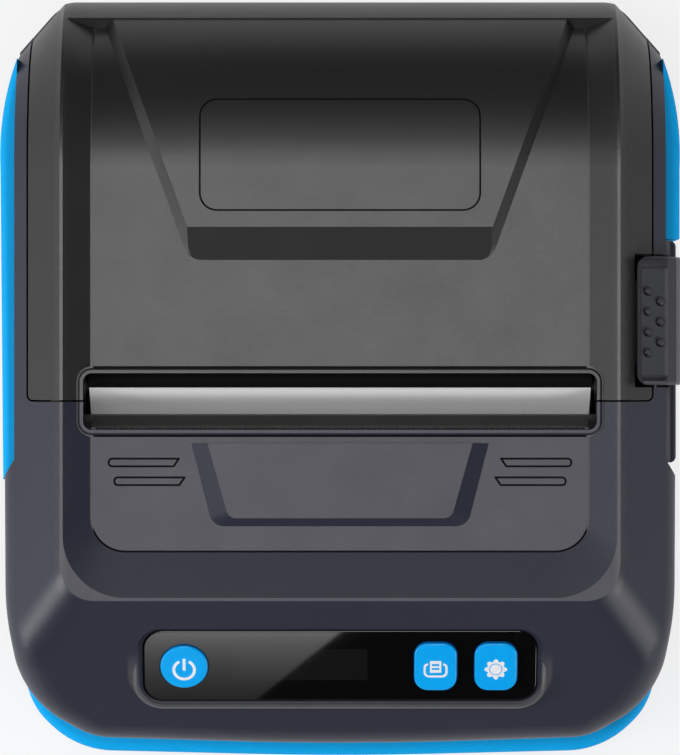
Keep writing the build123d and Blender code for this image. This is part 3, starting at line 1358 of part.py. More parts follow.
def lever_guard():
    """Dark cover on the right wall under the release lever."""
    front = STEP_Y + STEP_RUN
    inner, out = REAR_HALF_X, CASE_HALF_X
    points = [(inner, front), (out, front - STEP_RUN * 0.95), (out, GUARD_REAR_Y), (inner, GUARD_REAR_Y)]
    body = along_z(points, BUMPER_Z)
    rims = body.edges().filter_by(lambda e: abs(e.center().X - out) < 0.1 and e.length > 20)
    body = fillet(rims, BUMPER_ROUND)
    y = (LEVER_Y[0] - LEVER_FIT, LEVER_Y[1] + LEVER_FIT)
    pocket = block((inner - 1, out - 1.2), y, (LEVER_PIVOT[1] - 6, BUMPER_Z[1] + 1))
    return body - pocket


def front_bumper():
    """Front bumper round both corners, following the case."""
    right = [(CASE_HALF_X - x, FRONT_BUMPER_Y + y) for x, y in FRONT_BUMPER_CORNERS]
    left = [(-x, y) for x, y in reversed(right)]
    points = [(0, FRONT_BUMPER_Y - 0.2)] + right + left
    edge = FilletPolyline(*points, radius=[FRONT_BOW_R, 15, 12, 0, 0, 12, 15], close=True)
    face = Pos(0, 0, FRONT_BUMPER_Z[0]) * make_face(edge)
    body = extrude(face, amount=FRONT_BUMPER_Z[1] - FRONT_BUMPER_Z[0])
    ends = FRONT_BUMPER_Y + 16
    rims = [e for e in body.faces().sort_by(Axis.Z)[-1].edges() if e.center().Y < ends]
    rims += [e for e in body.faces().sort_by(Axis.Z)[0].edges() if e.center().Y < ends]
    body = fillet(rims, 1.5)
    body = body - Pos(0, 0, -1) * extrude(outline_face(), amount=60)
    for share in (0.28, 0.47, 0.66):
        z = FRONT_BUMPER_Z[0] + share * (FRONT_BUMPER_Z[1] - FRONT_BUMPER_Z[0])
        body = body - block((-24, 24), (FRONT_BUMPER_Y - 1, FRONT_BUMPER_Y + 0.6), (z, z + 1.1))
    return body


def battery_pack():
    """Rechargeable pack in its bay."""
    x = (-BATTERY_HALF_X, BATTERY_HALF_X)
    body = block(x, BATTERY_Y, (CASE_BOTTOM_Z + DOOR_THICK + 0.3, BATTERY_TOP_Z))
    return fillet(body.edges().filter_by(Axis.X), 1.5)


def battery_contacts():
    """Spring contacts at the rear of the bay."""
    y = (BATTERY_Y[1] + 0.3, DOOR_Y[1])
    return block((-9, 9), y, (CASE_BOTTOM_Z + 4.8, CASE_BOTTOM_Z + 9.8))


def battery_door():
    """Door under the bay with two hinge lugs."""
    x = (-DOOR_HALF_X, DOOR_HALF_X)
    z = (CASE_BOTTOM_Z, CASE_BOTTOM_Z + DOOR_THICK)
    door = block(x, (DOOR_Y[0] + 0.7, DOOR_Y[1] - 0.3), z)
    hy, hz = DOOR_HINGE
    for side in (-1, 1):
        kx = tuple(sorted(side * v for v in DOOR_KNUCKLE_X))
        door += rod_x(hy, hz, DOOR_LUG_R, kx) + block(kx, (hy, DOOR_Y[0] + 1), (hz - 0.9, hz + 0.6))
        door += rod_x(hy, hz, DOOR_PIN_R, (kx[0] - 1.2, kx[1] + 1.2))
    rear = DOOR_Y[1]
    door = door - block((-LATCH_HALF_X - 0.2, LATCH_HALF_X + 0.2), (rear - 7.0, rear + 1), (0, z[1] + 1))
    door = door - block((-LATCH_HALF_X - 0.8, LATCH_HALF_X + 0.8), (rear - 7.0, rear + 1), LATCH_TONGUE_Z)
    ribs = [block((-30, 30), (y, y + 0.6), (z[0] - 0.01, z[0] + 0.3)) for y in (-44, -40, -36)]
    return door - union(ribs)


def door_latch():
    """Sliding catch in the rear edge of the door."""
    rear = DOOR_Y[1]
    z = (CASE_BOTTOM_Z + 0.1, CASE_BOTTOM_Z + DOOR_THICK - 0.1)
    body = block((-LATCH_HALF_X, LATCH_HALF_X), (rear - 4.6, rear - 0.3), z)
    tongue = (LATCH_TONGUE_Z[0] + 0.1, LATCH_TONGUE_Z[1] - 0.1)
    body += block((-LATCH_HALF_X - 0.6, LATCH_HALF_X + 0.6), (rear - 4.6, rear - 0.3), tongue)
    grooves = [block((-4, 4), (rear - 4.0 + n, rear - 3.5 + n), (0, z[0] + 0.4)) for n in (0, 1, 2)]
    return body - union(grooves)


def rubber_feet():
    """Four feet under the case."""
    z = (0, CASE_BOTTOM_Z)
    return group([rod_z(side * FOOT_X, y, FOOT_R, z) for side in (-1, 1) for y in FOOT_Y])


def housing_screws():
    """Screws from below that join the two housings."""
    up = CASE_BOTTOM_Z + SCREW_DEEP
    driven = screw(SCREW_HEAD_R, 1.2, CASE_SPLIT_Z - up + 6)
    return group([Pos(x, y, up) * Rot(180, 0, 0) * driven for x, y in boss_places()])


def hinge_pins():
    """The two pins of the lid hinge."""
    reach = (LID_BARREL_HALF_X - HINGE_PIN_DEPTH, HINGE_HALF_X - 0.6)
    return group([hinge_rod(PIN_R, tuple(sorted((s * reach[0], s * reach[1])))) for s in (-1, 1)])


def main():
    """Build every piece and write one file for each."""
    skin = case_skin()
    housing = housing_skin(skin)
    pieces = {
        "lid_shell": lid_shell(skin),
        "top_housing": top_housing(housing) - usb_port(),
        "bottom_case": bottom_case(housing),
        "lid_liner": lid_liner(),
        "lid_striker": lid_striker(),
        "lid_screws": lid_screws(),
        "platen_bushes": platen_bushes(),
        "platen_roller": platen_roller(),
        "platen_shaft": platen_shaft(),
        "platen_gear": platen_gear(),
        "idler_gear": idler_gear(),
        "idler_axle": idler_axle(),
        "motor_pinion": motor_pinion(),
        "motor_shaft": motor_shaft(),
        "stepper_motor": stepper_motor(),
        "mechanism_frame": mechanism_frame(),
        "mechanism_screws": mechanism_screws(),
        "head_strip": head_strip(),
        "head_heatsink": head_heatsink(),
        "head_pivot_shaft": head_pivot_shaft(),
        "head_springs": head_springs(),
        "tear_bar": tear_bar(),
        "label_web": label_web(),
        "paper_sensor": paper_sensor(),
        "label_roll": label_roll(),
        "roll_core": roll_core(),
        "roll_guide_left": roll_guide(-1),
        "roll_guide_right": roll_guide(1),
        "roll_cradle": roll_cradle(),
        "panel_lens": panel_lens(),
        "power_button": power_button(),
        "feed_button": key_button(FEED_X),
        "setup_button": key_button(SETUP_X),
        "key_board": key_board(),
        "tact_switches": tact_switches(),
        "display_module": display_module(),
        "main_board": main_board(),
        "usb_connector": usb_connector(),
        "buzzer": buzzer(),
        "release_lever": release_lever(),
        "lever_pin": lever_pin(),
        "lever_spring": lever_spring(),
        "side_bumper_left": side_bumper(-1),
        "side_bumper_right": side_bumper(1),
        "lever_guard": lever_guard(),
        "front_bumper": front_bumper(),
        "battery_pack": battery_pack(),
        "battery_contacts": battery_contacts(),
        "battery_door": battery_door(),
        "door_latch": door_latch(),
        "rubber_feet": rubber_feet(),
        "housing_screws": housing_screws(),
        "hinge_pins": hinge_pins(),
    }
    os.makedirs("parts", exist_ok=True)
    for name, shape in pieces.items():
        export_step(shape, f"parts/{name}.step")
    print(len(pieces), "pieces")


if __name__ == "__main__":
    main()
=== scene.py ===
import json
from math import cos, pi, radians, sin

import bmesh
import bpy
from mathutils import Matrix, Vector


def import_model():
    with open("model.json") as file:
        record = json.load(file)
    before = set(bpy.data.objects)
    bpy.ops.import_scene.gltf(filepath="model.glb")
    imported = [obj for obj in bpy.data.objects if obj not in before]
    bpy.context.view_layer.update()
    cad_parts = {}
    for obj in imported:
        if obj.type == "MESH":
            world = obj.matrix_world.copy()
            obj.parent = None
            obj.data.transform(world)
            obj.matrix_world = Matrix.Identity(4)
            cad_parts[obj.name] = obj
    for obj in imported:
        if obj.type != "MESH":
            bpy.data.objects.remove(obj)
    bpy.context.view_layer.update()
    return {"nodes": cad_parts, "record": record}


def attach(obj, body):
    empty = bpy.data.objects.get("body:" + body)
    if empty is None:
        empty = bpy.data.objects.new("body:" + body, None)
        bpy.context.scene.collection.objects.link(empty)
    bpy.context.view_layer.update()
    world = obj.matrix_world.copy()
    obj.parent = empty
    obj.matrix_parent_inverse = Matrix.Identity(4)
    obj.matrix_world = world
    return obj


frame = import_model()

# Portable label printer: the finishes of the CAD nodes, a few small pieces and the studio.
# Lengths are in millimetres, but in metres for the camera and the lamps. The scale of a
# noise or of cells is a number to the metre.

MM = 0.001
nodes = frame["nodes"]

# Crown of the case: flat, then round at the rear about an axis (y, z), with a sunken dish

REAR_AXIS = (34.6, 29.5)
REAR_RADIUS = 27.5
DISH_DEPTH = 1.8
DISH_HALF_X = 40.6
DISH_FRONT_Y = -28.0
DISH_BORDER_X = 39.5
DISH_LINE_DEPTHS = (DISH_DEPTH + 0.22, DISH_DEPTH + 1.4)
LABEL_PLACE_HALF_X = 23.1
LABEL_PLACE_Y = (26.9, 45.6)
LABEL_PLACE_DEPTHS = (0.42, 1.2)
RIDGE_HALF_X = 44.8
RIDGE_FRONT_Y = -36.5

# Control panel: its middle, its lean, and places in its own plane

PANEL_Y = -45.85
PANEL_Z = 48.0
PANEL_LEAN = radians(25)
PANEL_MIDDLE = Vector((0, PANEL_Y, PANEL_Z)) * MM
PANEL = Matrix.Translation(PANEL_MIDDLE) @ Matrix.Rotation(PANEL_LEAN, 4, "X")
LENS_HALF_X = 31.9
LENS_HALF_Y = 5.8
LENS_CORNER = 3.5
WINDOW_X = (-17.3, 4.4)
POWER_KEY = (-25.1, -0.45)
FEED_KEY_X = 15.4
SETUP_KEY = (25.1, -0.35)
KEY_TOP = 0.55
INK = (KEY_TOP - 0.02, KEY_TOP + 0.03)
INK_DEPTH = INK[1] - INK[0]

# Release lever: its finger pad, and its dots as x of a column, y of one dot, limits in y

LEVER_PAD_X = (48.3, 52.6)
LEVER_PAD_Y = (1.0, 18.0)
LEVER_DOTS = ((49.35, 4.6, (3.0, 16.0)), (51.35, 6.24, (4.6, 14.3)))
LEVER_DOT_PITCH = 3.28
LEVER_DOT_RADIUS = 0.55

# Inside: the roll's axis (y, z) and end, the print head, the battery and the tear bar (y, z)

ROLL_AXIS = (34.1, 28.0)
ROLL_RADIUS = 22.5
ROLL_END_X = 39.72
HEAD_LANDS_Z = 41.0
BATTERY_CREASES_X = (24, 33)
TEAR_EDGE = (-7.56, 55.2)

# Main board: chips as x, y, half depth, legs to a side; capacitors as x, y, radius, height

BOARD_TOP = 21.6
CHIPS = ((-20, -38, 6.0, 11), (22, -40, 4.5, 12))
CAPACITORS = ((-40, -40, 2.2, 5.2), (-34.5, -40, 2.2, 5.2), (-30, -46.5, 1.6, 4.0))

# Colours that several finishes share

LID = (0.025, 0.025, 0.0255)
SLATE = (0.026, 0.027, 0.046)
BLUE = (0.003, 0.440, 1.000)
# Black painted into grooves and round the lever's dots as painted shade
PAINTED_SHADE = (0.001, 0.001, 0.001)
CHIP_BLACK = (0.016, 0.016, 0.018)

# Studio, in metres and watts. The photograph looks straight down on the label slot

SLOT_LEVEL = 0.055
CAMERA_DISTANCE = 1.0
VIEW_HEIGHT = 0.1208
LAMP_TARGET = Vector((0, 0, 0.05))
LAMPS = (
    ("key_above", (0.5, 0.5), (0.0, 0.0, 1.35), 5.9),
    ("above_left", (0.5, 0.7), (-0.5, 0.0, 1.35), 2.2),
    ("upper_left", (0.5, 0.7), (-1.0, 0.0, 1.15), 2.4),
    ("above_rear", (0.7, 0.4), (0.0, 0.5, 1.25), 0.8),
    ("low_left", (0.6, 0.4), (-1.2, -0.1, 0.45), 4.2),
    ("low_front_right", (0.6, 0.4), (0.9, -0.8, 0.45), 3.6),
    ("low_front", (0.6, 0.4), (0.0, -1.2, 0.45), 0.2),
    ("near_left", (0.14, 0.1), (-0.34, -0.16, 0.13), 0.39),
    ("near_right", (0.14, 0.1), (0.34, -0.16, 0.13), 0.2),
)

# Card that the glossy panel mirrors to the camera: its direction and distance from the panel,
# and its corners in its own plane, lower left, lower right, upper left and upper right

CARD_LEAN = radians(52.64)
CARD_AWAY = 0.9
CARD_CORNERS = ((-110, -20), (-37.7, -20), (-110, 20), (12.4, 20))


# Materials


class Value:
    """A socket of the node tree, on which arithmetic adds Math nodes."""

    def __init__(self, finish, socket):
        self.finish = finish
        self.socket = socket

    def math(self, operation, *parts):
        return self.finish.node("ShaderNodeMath", {"operation": operation}, dict(enumerate(parts)))

    def __add__(self, other):
        return self.math("ADD", self, other)

    def __radd__(self, other):
        return self.math("ADD", other, self)

    def __sub__(self, other):
        return self.math("SUBTRACT", self, other)

    def __rsub__(self, other):
        return self.math("SUBTRACT", other, self)

    def __mul__(self, other):
        return self.math("MULTIPLY", self, other)

    def __truediv__(self, other):
        return self.math("DIVIDE", self, other)

    def __pow__(self, other):
        return self.math("POWER", self, other)

    def __abs__(self):
        return self.math("ABSOLUTE", self)

    def sine(self):
        return self.math("SINE", self)

    def exponential(self):
        return self.math("EXPONENT", self)

    def least(self, other):
        return self.math("MINIMUM", self, other)

    def most(self, other):
        return self.math("MAXIMUM", self, other)

    def above(self, other):
        return self.math("GREATER_THAN", self, other)

    def below(self, other):
        return self.math("LESS_THAN", self, other)

    def angle_to(self, other):
        return self.math("ARCTAN2", self, other)

    def fraction(self):
        return self.math("FRACT", self)

    def step(self, low, high):
        """0 at low, 1 at high, smooth between."""
        values = {"Value": self, "From Min": low, "From Max": high}
        return self.finish.node(
            "ShaderNodeMapRange", {"interpolation_type": "SMOOTHSTEP"}, values
        )


class Finish:
    """One material: its node tree and the textures that the finishes share."""

    def __init__(self, name, **fixed):
        self.material = bpy.data.materials.new(name)
        self.material.use_nodes = True
        self.tree = self.material.node_tree
        self.shader = self.tree.nodes["Principled BSDF"]
        self.set(**fixed)
        self.place = self.node("ShaderNodeTexCoord", {}, {}, "Object")

    def node(self, kind, settings, values, output=0):
        """Adds a node, sets it up, feeds its sockets and returns one output."""
        made = self.tree.nodes.new(kind)
        for key, setting in settings.items():
            setattr(made, key, setting)
        for socket, value in values.items():
            self.feed(made.inputs[socket], value)
        return Value(self, made.outputs[output])

    def feed(self, socket, value):
        """Gives a socket a link or a fixed value."""
        if isinstance(value, Value):
            self.tree.links.new(value.socket, socket)
        else:
            socket.default_value = value

    def set(self, **sockets):
        """Feeds the Principled shader, each socket by its name with _ for a space."""
        for socket, value in sockets.items():
            self.feed(self.shader.inputs[socket.replace("_", " ")], value)

    def surface(self, shader):
        """Shows another shader in place of the Principled one."""
        self.feed(self.tree.nodes["Material Output"].inputs["Surface"], shader)

    def noise(self, scale, detail=2.0, roughness=0.5, place=None):
        values = {"Vector": place or self.place, "Scale": scale}
        values.update({"Detail": detail, "Roughness": roughness})
        return self.node("ShaderNodeTexNoise", {}, values, "Fac")

    def streaks(self, scales, detail, roughness):
        """Noise drawn out along the axes, with a scale for each."""
        values = {"Vector": self.place, "Scale": scales}
        drawn = self.node("ShaderNodeMapping", {"vector_type": "POINT"}, values)
        return self.noise(1.0, detail, roughness, drawn)

    def cells(self, scale, feature="F1"):
        values = {"Vector": self.place, "Scale": scale}
        return self.node("ShaderNodeTexVoronoi", {"feature": feature}, values, "Distance")

    def parts(self):
        """The three coordinates, in millimetres."""
        split = self.tree.nodes.new("ShaderNodeSeparateXYZ")
        self.feed(split.inputs[0], self.place)
        return [Value(self, output) / MM for output in split.outputs]

    def panel_parts(self):
        """Coordinates in the plane of the control panel, in millimetres."""
        x, y, z = self.parts()
        y, z = y - PANEL_Y, z - PANEL_Z
        lean, rise = cos(PANEL_LEAN), sin(PANEL_LEAN)
        return x, y * lean + z * rise, z * lean - y * rise

    def mix(self, factor, first, second):
        """Mixes two colours by a factor."""
        made = self.tree.nodes.new("ShaderNodeMix")
        made.data_type = "RGBA"
        colour_a, colour_b = made.inputs[6], made.inputs[7]
        self.feed(made.inputs[0], factor)
        for socket, value in ((colour_a, first), (colour_b, second)):
            self.feed(socket, value if isinstance(value, Value) else value + (1,))
        return Value(self, made.outputs[2])

    def bump(self, height, depth, strength):
        """A bumped normal from a height of 0 to 1 and its depth."""
        values = {"Height": height, "Distance": depth * MM, "Strength": strength}
        return self.node("ShaderNodeBump", {}, values)


def shade(colour, factor):
    return tuple(min(1.0, channel * factor) for channel in colour)


def within(value, low, high):
    """1 where the value lies between two limits."""
    return value.above(low) * value.below(high)


def distance(across, along):
    return (across * across + along * along) ** 0.5


def moulded(name, colour, rough, spread=0.08, marks=None, **fixed):
    """Moulded plastic: fine grain, faint flow marks and specks, handling marks in the gloss."""
    f = Finish(name, **fixed)
    fine = f.noise(2600, 3, 0.6)
    flow = f.noise(45, 4, 0.55)
    hands = f.noise(120, 5, 0.6)
    base = f.mix(flow, shade(colour, 1 - spread), shade(colour, 1 + spread))
    specks = 1 - f.cells(910).step(0.02, 0.12)
    base = f.mix(specks * 0.3, base, shade(colour, 1.6))
    gloss = rough - 0.06 + hands * 0.07 + fine * 0.05
    if marks:
        base, gloss = marks(f, base, gloss)
    f.set(Base_Color=base, Roughness=gloss, Normal=f.bump(fine, 0.04, 0.35))
    return f


def crown_marks(f, base, gloss):
    """Engraved lines painted black at their bottoms as painted shade, painted paler at the dish's
    sides as painted light, and a painted highlight along the ridges, where the gloss is also a
    little higher.
    """
    x, y, z = f.parts()
    behind = (y - REAR_AXIS[0]).most(0.0)
    over = (z - REAR_AXIS[1]).most(0.0)
    depth = REAR_RADIUS - distance(behind, over)
    side = abs(x)
    inside = side.below(DISH_HALF_X) * y.above(DISH_FRONT_Y)
    lines = inside * within(depth, *DISH_LINE_DEPTHS)
    painted_light_lines = side.above(DISH_BORDER_X) * lines
    place = side.below(LABEL_PLACE_HALF_X) * within(y, *LABEL_PLACE_Y)
    place = place * within(depth, *LABEL_PLACE_DEPTHS)
    shaded_grooves = (lines * (1 - painted_light_lines)).most(place)
    # Painted highlight along the ridges, patchy, with lower roughness there as polish.
    ridge_highlight_and_polish = (1 - abs(side - RIDGE_HALF_X).step(0.2, 1.3)) * depth.below(1.0)
    ridge_highlight_and_polish = ridge_highlight_and_polish * y.above(RIDGE_FRONT_Y)
    highlight_patches = f.noise(700, 4, 0.65).step(0.45, 0.7)
    base = f.mix(ridge_highlight_and_polish * (0.35 + highlight_patches * 0.4), base, (0.05, 0.05, 0.054))
    # Painted shade: the engraved lines and the label place are painted black at their bottoms.
    base = f.mix(shaded_grooves, base, PAINTED_SHADE)
    # Painted light: the lines along the sides of the dish are painted paler, as if light fell in
    # them.
    base = f.mix(painted_light_lines * 0.8, base, (0.10, 0.10, 0.105))
    return base, gloss * (1 - ridge_highlight_and_polish * 0.12) + shaded_grooves * 0.5


def housing_marks(f, base, gloss):
    """The crown's marks, and a painted highlight on the front of the bezel round the panel, where
    the gloss is also a little higher.
    """
    base, gloss = crown_marks(f, base, gloss)
    x, y, z = f.panel_parts()
    across = (abs(x) - LENS_HALF_X + LENS_CORNER).most(0.0)
    along = (0 - y - LENS_HALF_Y + LENS_CORNER).most(0.0)
    out = distance(across, along) - LENS_CORNER
    lip = out.step(0.4, 1.0) * (1 - out.step(1.9, 2.6))
    lip = lip * (1 - y.step(-2.0, 3.5)) * abs(z).below(2.5)
    # Painted highlight on the bezel's lip below the lens, with lower roughness there.
    lightened = lip * (0.75 + f.noise(500, 3, 0.6) * 0.3)
    return f.mix(lightened, base, (0.085, 0.086, 0.096)), gloss * (1 - lightened * 0.15)


def brushed(name, colour, rough, stretch=(40, 900, 900)):
    """Drawn or ground metal: fine lines along one axis, with faint dull patches."""
    f = Finish(name, Metallic=1.0)
    lines = f.streaks(stretch, 4, 0.6)
    dull = f.noise(160, 4, 0.55)
    f.set(Base_Color=f.mix(dull.step(0.35, 0.75), colour, shade(colour, 0.72)))
    f.set(Roughness=rough + lines * 0.18 + dull * 0.1 - 0.12)
    f.set(Normal=f.bump(lines, 0.01, 0.6))
    return f


def zinc(name, colour, rough):
    """Zinc-plated sheet: small crystal facets in the sheen and dull handling marks."""
    f = Finish(name, Metallic=1.0)
    facets = f.cells(900)
    dull = f.noise(110, 5, 0.6)
    f.set(Base_Color=f.mix(facets, shade(colour, 0.8), shade(colour, 1.25)))
    f.set(Roughness=rough + facets * 0.15 + dull * 0.15 - 0.1)
    f.set(Normal=f.bump(dull, 0.03, 0.4))
    return f


def lever_finish():
    """Release lever: a lighter finger pad, and painted shade at the foot of its dots."""
    f = Finish("lever_plastic", Specular_IOR_Level=0.45)
    x, y, z = f.parts()
    fine = f.noise(2600, 3, 0.6)
    worn = f.noise(240, 4, 0.6)
    pad = within(x, *LEVER_PAD_X) * within(y, *LEVER_PAD_Y)
    base = f.mix(worn, (0.028, 0.029, 0.037), (0.040, 0.041, 0.050))
    base = f.mix(pad * 0.8, base, (0.062, 0.064, 0.072))
    for column, start, limits in LEVER_DOTS:
        turns = (y - start) / LEVER_DOT_PITCH + 0.5
        along = turns.fraction() * LEVER_DOT_PITCH - LEVER_DOT_PITCH / 2
        out = x - column
        away = distance(out, along)
        # Painted shade: a dark ring at the foot of each dot, strongest on its lower left side.
        foot = (1 - abs(away - LEVER_DOT_RADIUS).step(0.12, 0.36)) * within(y, *limits)
        lee = 0.06 + (0 - out - along).step(-0.25, 0.35) * 0.94
        base = f.mix(foot * lee, base, PAINTED_SHADE)
    f.set(Base_Color=base, Roughness=0.4 + worn * 0.1, Normal=f.bump(fine, 0.04, 0.35))
    return f


def lens_finish():
    """Glossy black window, a little lighter over the display, with faint haze and dust."""
    f = Finish("gloss_lens", Specular_IOR_Level=0.55)
    x, y, z = f.panel_parts()
    window = within(x, *WINDOW_X) * within(y, -2.6, 3.0)
    dust = f.noise(1500, 3, 0.7).step(0.62, 0.8)
    haze = f.noise(60, 4, 0.5)
    base = f.mix(window, (0.0035, 0.0035, 0.004), (0.0085, 0.0085, 0.0095))
    f.set(Base_Color=f.mix(dust * 0.25, base, (0.03, 0.03, 0.032)))
    f.set(Roughness=0.012 + haze * 0.012 + dust * 0.05)
    f.set(Normal=f.bump(haze, 0.001, 0.2))
    return f


def key_finish():
    """Blue key caps: smooth moulding, darker round the foot and lighter on top."""
    f = Finish("blue_keys", Specular_IOR_Level=0.2, Coat_Roughness=0.12)
    z = f.panel_parts()[2]
    fine = f.noise(3200, 3, 0.6)
    lightened = z.step(KEY_TOP - 0.35, KEY_TOP)
    flow = f.noise(140, 3, 0.5)
    foot = f.mix(flow, (0.001, 0.16, 0.50), (0.002, 0.19, 0.58))
    top = f.mix(flow, (0.003, 0.40, 0.98), (0.005, 0.44, 1.0))
    f.set(Base_Color=f.mix(lightened, foot, top), Coat_Weight=lightened * 0.08)
    f.set(Roughness=0.24 + fine * 0.08, Normal=f.bump(fine, 0.012, 0.35))
    return f


def print_finish():
    """White ink of the key symbols, a little uneven."""
    f = Finish("key_print", Specular_IOR_Level=0.4)
    ink = f.noise(2400, 4, 0.6)
    f.set(Base_Color=f.mix(ink.step(0.3, 0.75), (0.86, 0.90, 0.94), (0.97, 0.98, 1.0)))
    f.set(Roughness=0.35 + ink * 0.2, Normal=f.bump(ink, 0.008, 0.4))
    return f


def rubber(name, colour, rough, **fixed):
    """Soft rubber: pebbled grain and a little dust."""
    f = Finish(name, **fixed)
    pebbles = f.cells(1400, "SMOOTH_F1")
    fine = f.noise(3800, 3, 0.6)
    dust = f.noise(210, 5, 0.65).step(0.48, 0.8)
    base = f.mix(fine, shade(colour, 0.92), shade(colour, 1.06))
    f.set(Base_Color=f.mix(dust * 0.12, base, shade(colour, 1.5)))
    f.set(Roughness=rough + fine * 0.08 + dust * 0.06)
    f.set(Normal=f.bump(pebbles, 0.03, 0.3))
    return f


def paper_finish():
    """Thermal labels on their liner: fibres, faint cockle, and the roll's turns at its ends."""
    f = Finish("label_paper", Specular_IOR_Level=0.5)
    x, y, z = f.parts()
    fibres = f.streaks((2600, 700, 700), 5, 0.7)
    cockle = f.noise(55, 3, 0.5)
    tone = f.mix(fibres, (0.90, 0.90, 0.895), (0.97, 0.97, 0.965))
    turn = distance(y - ROLL_AXIS[0], z - ROLL_AXIS[1])
    end = abs(x).above(ROLL_END_X) * turn.below(ROLL_RADIUS)
    windings = (turn * 26).sine() * 0.5 + 0.5
    layers = windings * 0.6 + f.streaks((10, 1500, 1500), 3, 0.6) * 0.4
    liner = f.mix(layers, (0.46, 0.41, 0.30), (0.82, 0.80, 0.72))
    f.set(Base_Color=f.mix(end, tone, liner))
    f.set(Roughness=0.42 + fibres * 0.16)
    f.set(Normal=f.bump(fibres * 0.6 + cockle * 0.8, 0.03, 0.4))
    return f


def card_finish():
    """Grey-brown board of the roll core: wound plies and loose fibres."""
    f = Finish("core_card", Specular_IOR_Level=0.2)
    x, y, z = f.parts()
    fibres = f.noise(1800, 6, 0.75)
    angle = (y - ROLL_AXIS[0]).angle_to(z - ROLL_AXIS[1])
    ply = ((x * 0.45 + angle * 3.0) / 2.4).fraction().below(0.03)
    base = f.mix(fibres, (0.30, 0.215, 0.13), (0.47, 0.35, 0.22))
    f.set(Base_Color=f.mix(ply * 0.7, base, (0.12, 0.08, 0.05)))
    f.set(Roughness=0.72 + fibres * 0.2, Normal=f.bump(fibres - ply * 0.8, 0.06, 0.6))
    return f


def board_finish():
    """Circuit board: green mask over copper runs that change direction, with gilded pads."""
    f = Finish("circuit_board", Specular_IOR_Level=0.5)
    x, y, z = f.parts()
    bend = f.noise(90, 2, 0.5)
    run_x = ((x + bend * 1.4) / 1.9).fraction().below(0.22)
    run_y = ((y + bend * 2.2) / 2.3).fraction().below(0.18)
    fields = f.cells(95).above(0.42)
    runs = (run_x * fields).most(run_y * (1 - fields))
    pad_x = abs((x / 3.8).fraction() - 0.5)
    pad_y = abs((y / 4.6).fraction() - 0.5)
    pads = (pad_x * pad_x + pad_y * pad_y).below(0.012) * f.cells(60).above(0.35)
    weave = f.noise(2400, 2, 0.5)
    mask = f.mix(runs, (0.004, 0.050, 0.022), (0.010, 0.110, 0.048))
    mask = f.mix(weave * 0.3, mask, (0.02, 0.09, 0.04))
    f.set(Base_Color=f.mix(pads, mask, (0.72, 0.52, 0.20)), Metallic=pads)
    f.set(Roughness=0.26 + weave * 0.1 + runs * 0.05)
    f.set(Normal=f.bump(runs + pads * 0.6, 0.03, 0.5))
    return f


def display_finish():
    """Display under the lens: dark glass with faint segment cells and a bright frame."""
    f = Finish("display_glass", Specular_IOR_Level=0.6)
    x, y, z = f.panel_parts()
    cells = ((x / 0.5).fraction().below(0.12)).most((y / 0.5).fraction().below(0.12))
    view = within(x, *WINDOW_X) * within(y, -2.8, 3.2)
    base = f.mix(cells * 0.5, (0.012, 0.016, 0.016), (0.03, 0.036, 0.034))
    f.set(Base_Color=f.mix(view, (0.30, 0.31, 0.32), base))
    f.set(Roughness=0.08 + (1 - view) * 0.3, Metallic=(1 - view) * 0.9)
    f.set(Normal=f.bump(f.noise(300, 3), 0.005, 0.3))
    return f


def wrap_finish():
    """Battery shrink film: satin, with stretch creases near the ends and rubbed high spots."""
    f = Finish("battery_wrap", Specular_IOR_Level=0.5, Coat_Weight=0.3, Coat_Roughness=0.2)
    x = f.parts()[0]
    creases = f.streaks((900, 60, 200), 4, 0.6)
    near = abs(x).step(*BATTERY_CREASES_X)
    lightened = f.noise(260, 4, 0.6).step(0.55, 0.8)
    base = f.mix(creases * near, (0.006, 0.014, 0.035), (0.012, 0.026, 0.060))
    f.set(Base_Color=f.mix(lightened * 0.3, base, (0.05, 0.08, 0.15)))
    f.set(Roughness=0.28 + creases * 0.12, Normal=f.bump(creases * near, 0.08, 0.5))
    return f


def ceramic_finish():
    """Print head: dark glaze, with fine gold lands along the lower part of the strip."""
    f = Finish("head_ceramic", Specular_IOR_Level=0.6)
    x, y, z = f.parts()
    glaze = f.noise(400, 3, 0.5)
    lands = (x / 0.5).fraction().below(0.45) * z.below(HEAD_LANDS_Z)
    base = f.mix(glaze, (0.045, 0.040, 0.036), (0.062, 0.055, 0.050))
    f.set(Base_Color=f.mix(lands, base, (0.42, 0.31, 0.13)), Metallic=lands * 0.8)
    f.set(Roughness=0.16 + glaze * 0.08, Normal=f.bump(glaze, 0.006, 0.4))
    return f


def gear_finish():
    """Natural acetal: waxy cream, with patches of grey grease."""
    f = Finish("gear_plastic", Specular_IOR_Level=0.45)
    flow = f.noise(120, 3, 0.5)
    grease = f.noise(420, 4, 0.6).step(0.5, 0.72)
    base = f.mix(flow, (0.62, 0.59, 0.47), (0.72, 0.69, 0.57))
    f.set(Base_Color=f.mix(grease * 0.35, base, (0.20, 0.18, 0.14)))
    f.set(Roughness=0.42 - grease * 0.18 + flow * 0.06)
    f.set(Normal=f.bump(flow, 0.02, 0.4))
    return f


def contact_finish():
    """Battery contact block: brass leaves set in black plastic."""
    f = Finish("contact_brass", Specular_IOR_Level=0.4)
    x = f.parts()[0]
    leaf = abs((x / 4.5 + 0.5).fraction() - 0.5).below(0.26)
    rub = f.streaks((900, 900, 90), 3, 0.6)
    brass = f.mix(rub, (0.56, 0.38, 0.13), (0.80, 0.60, 0.27))
    f.set(Base_Color=f.mix(leaf, CHIP_BLACK, brass), Metallic=leaf)
    f.set(Roughness=0.5 - leaf * 0.25 + rub * 0.12, Normal=f.bump(leaf + rub * 0.1, 0.08, 0.5))
    return f


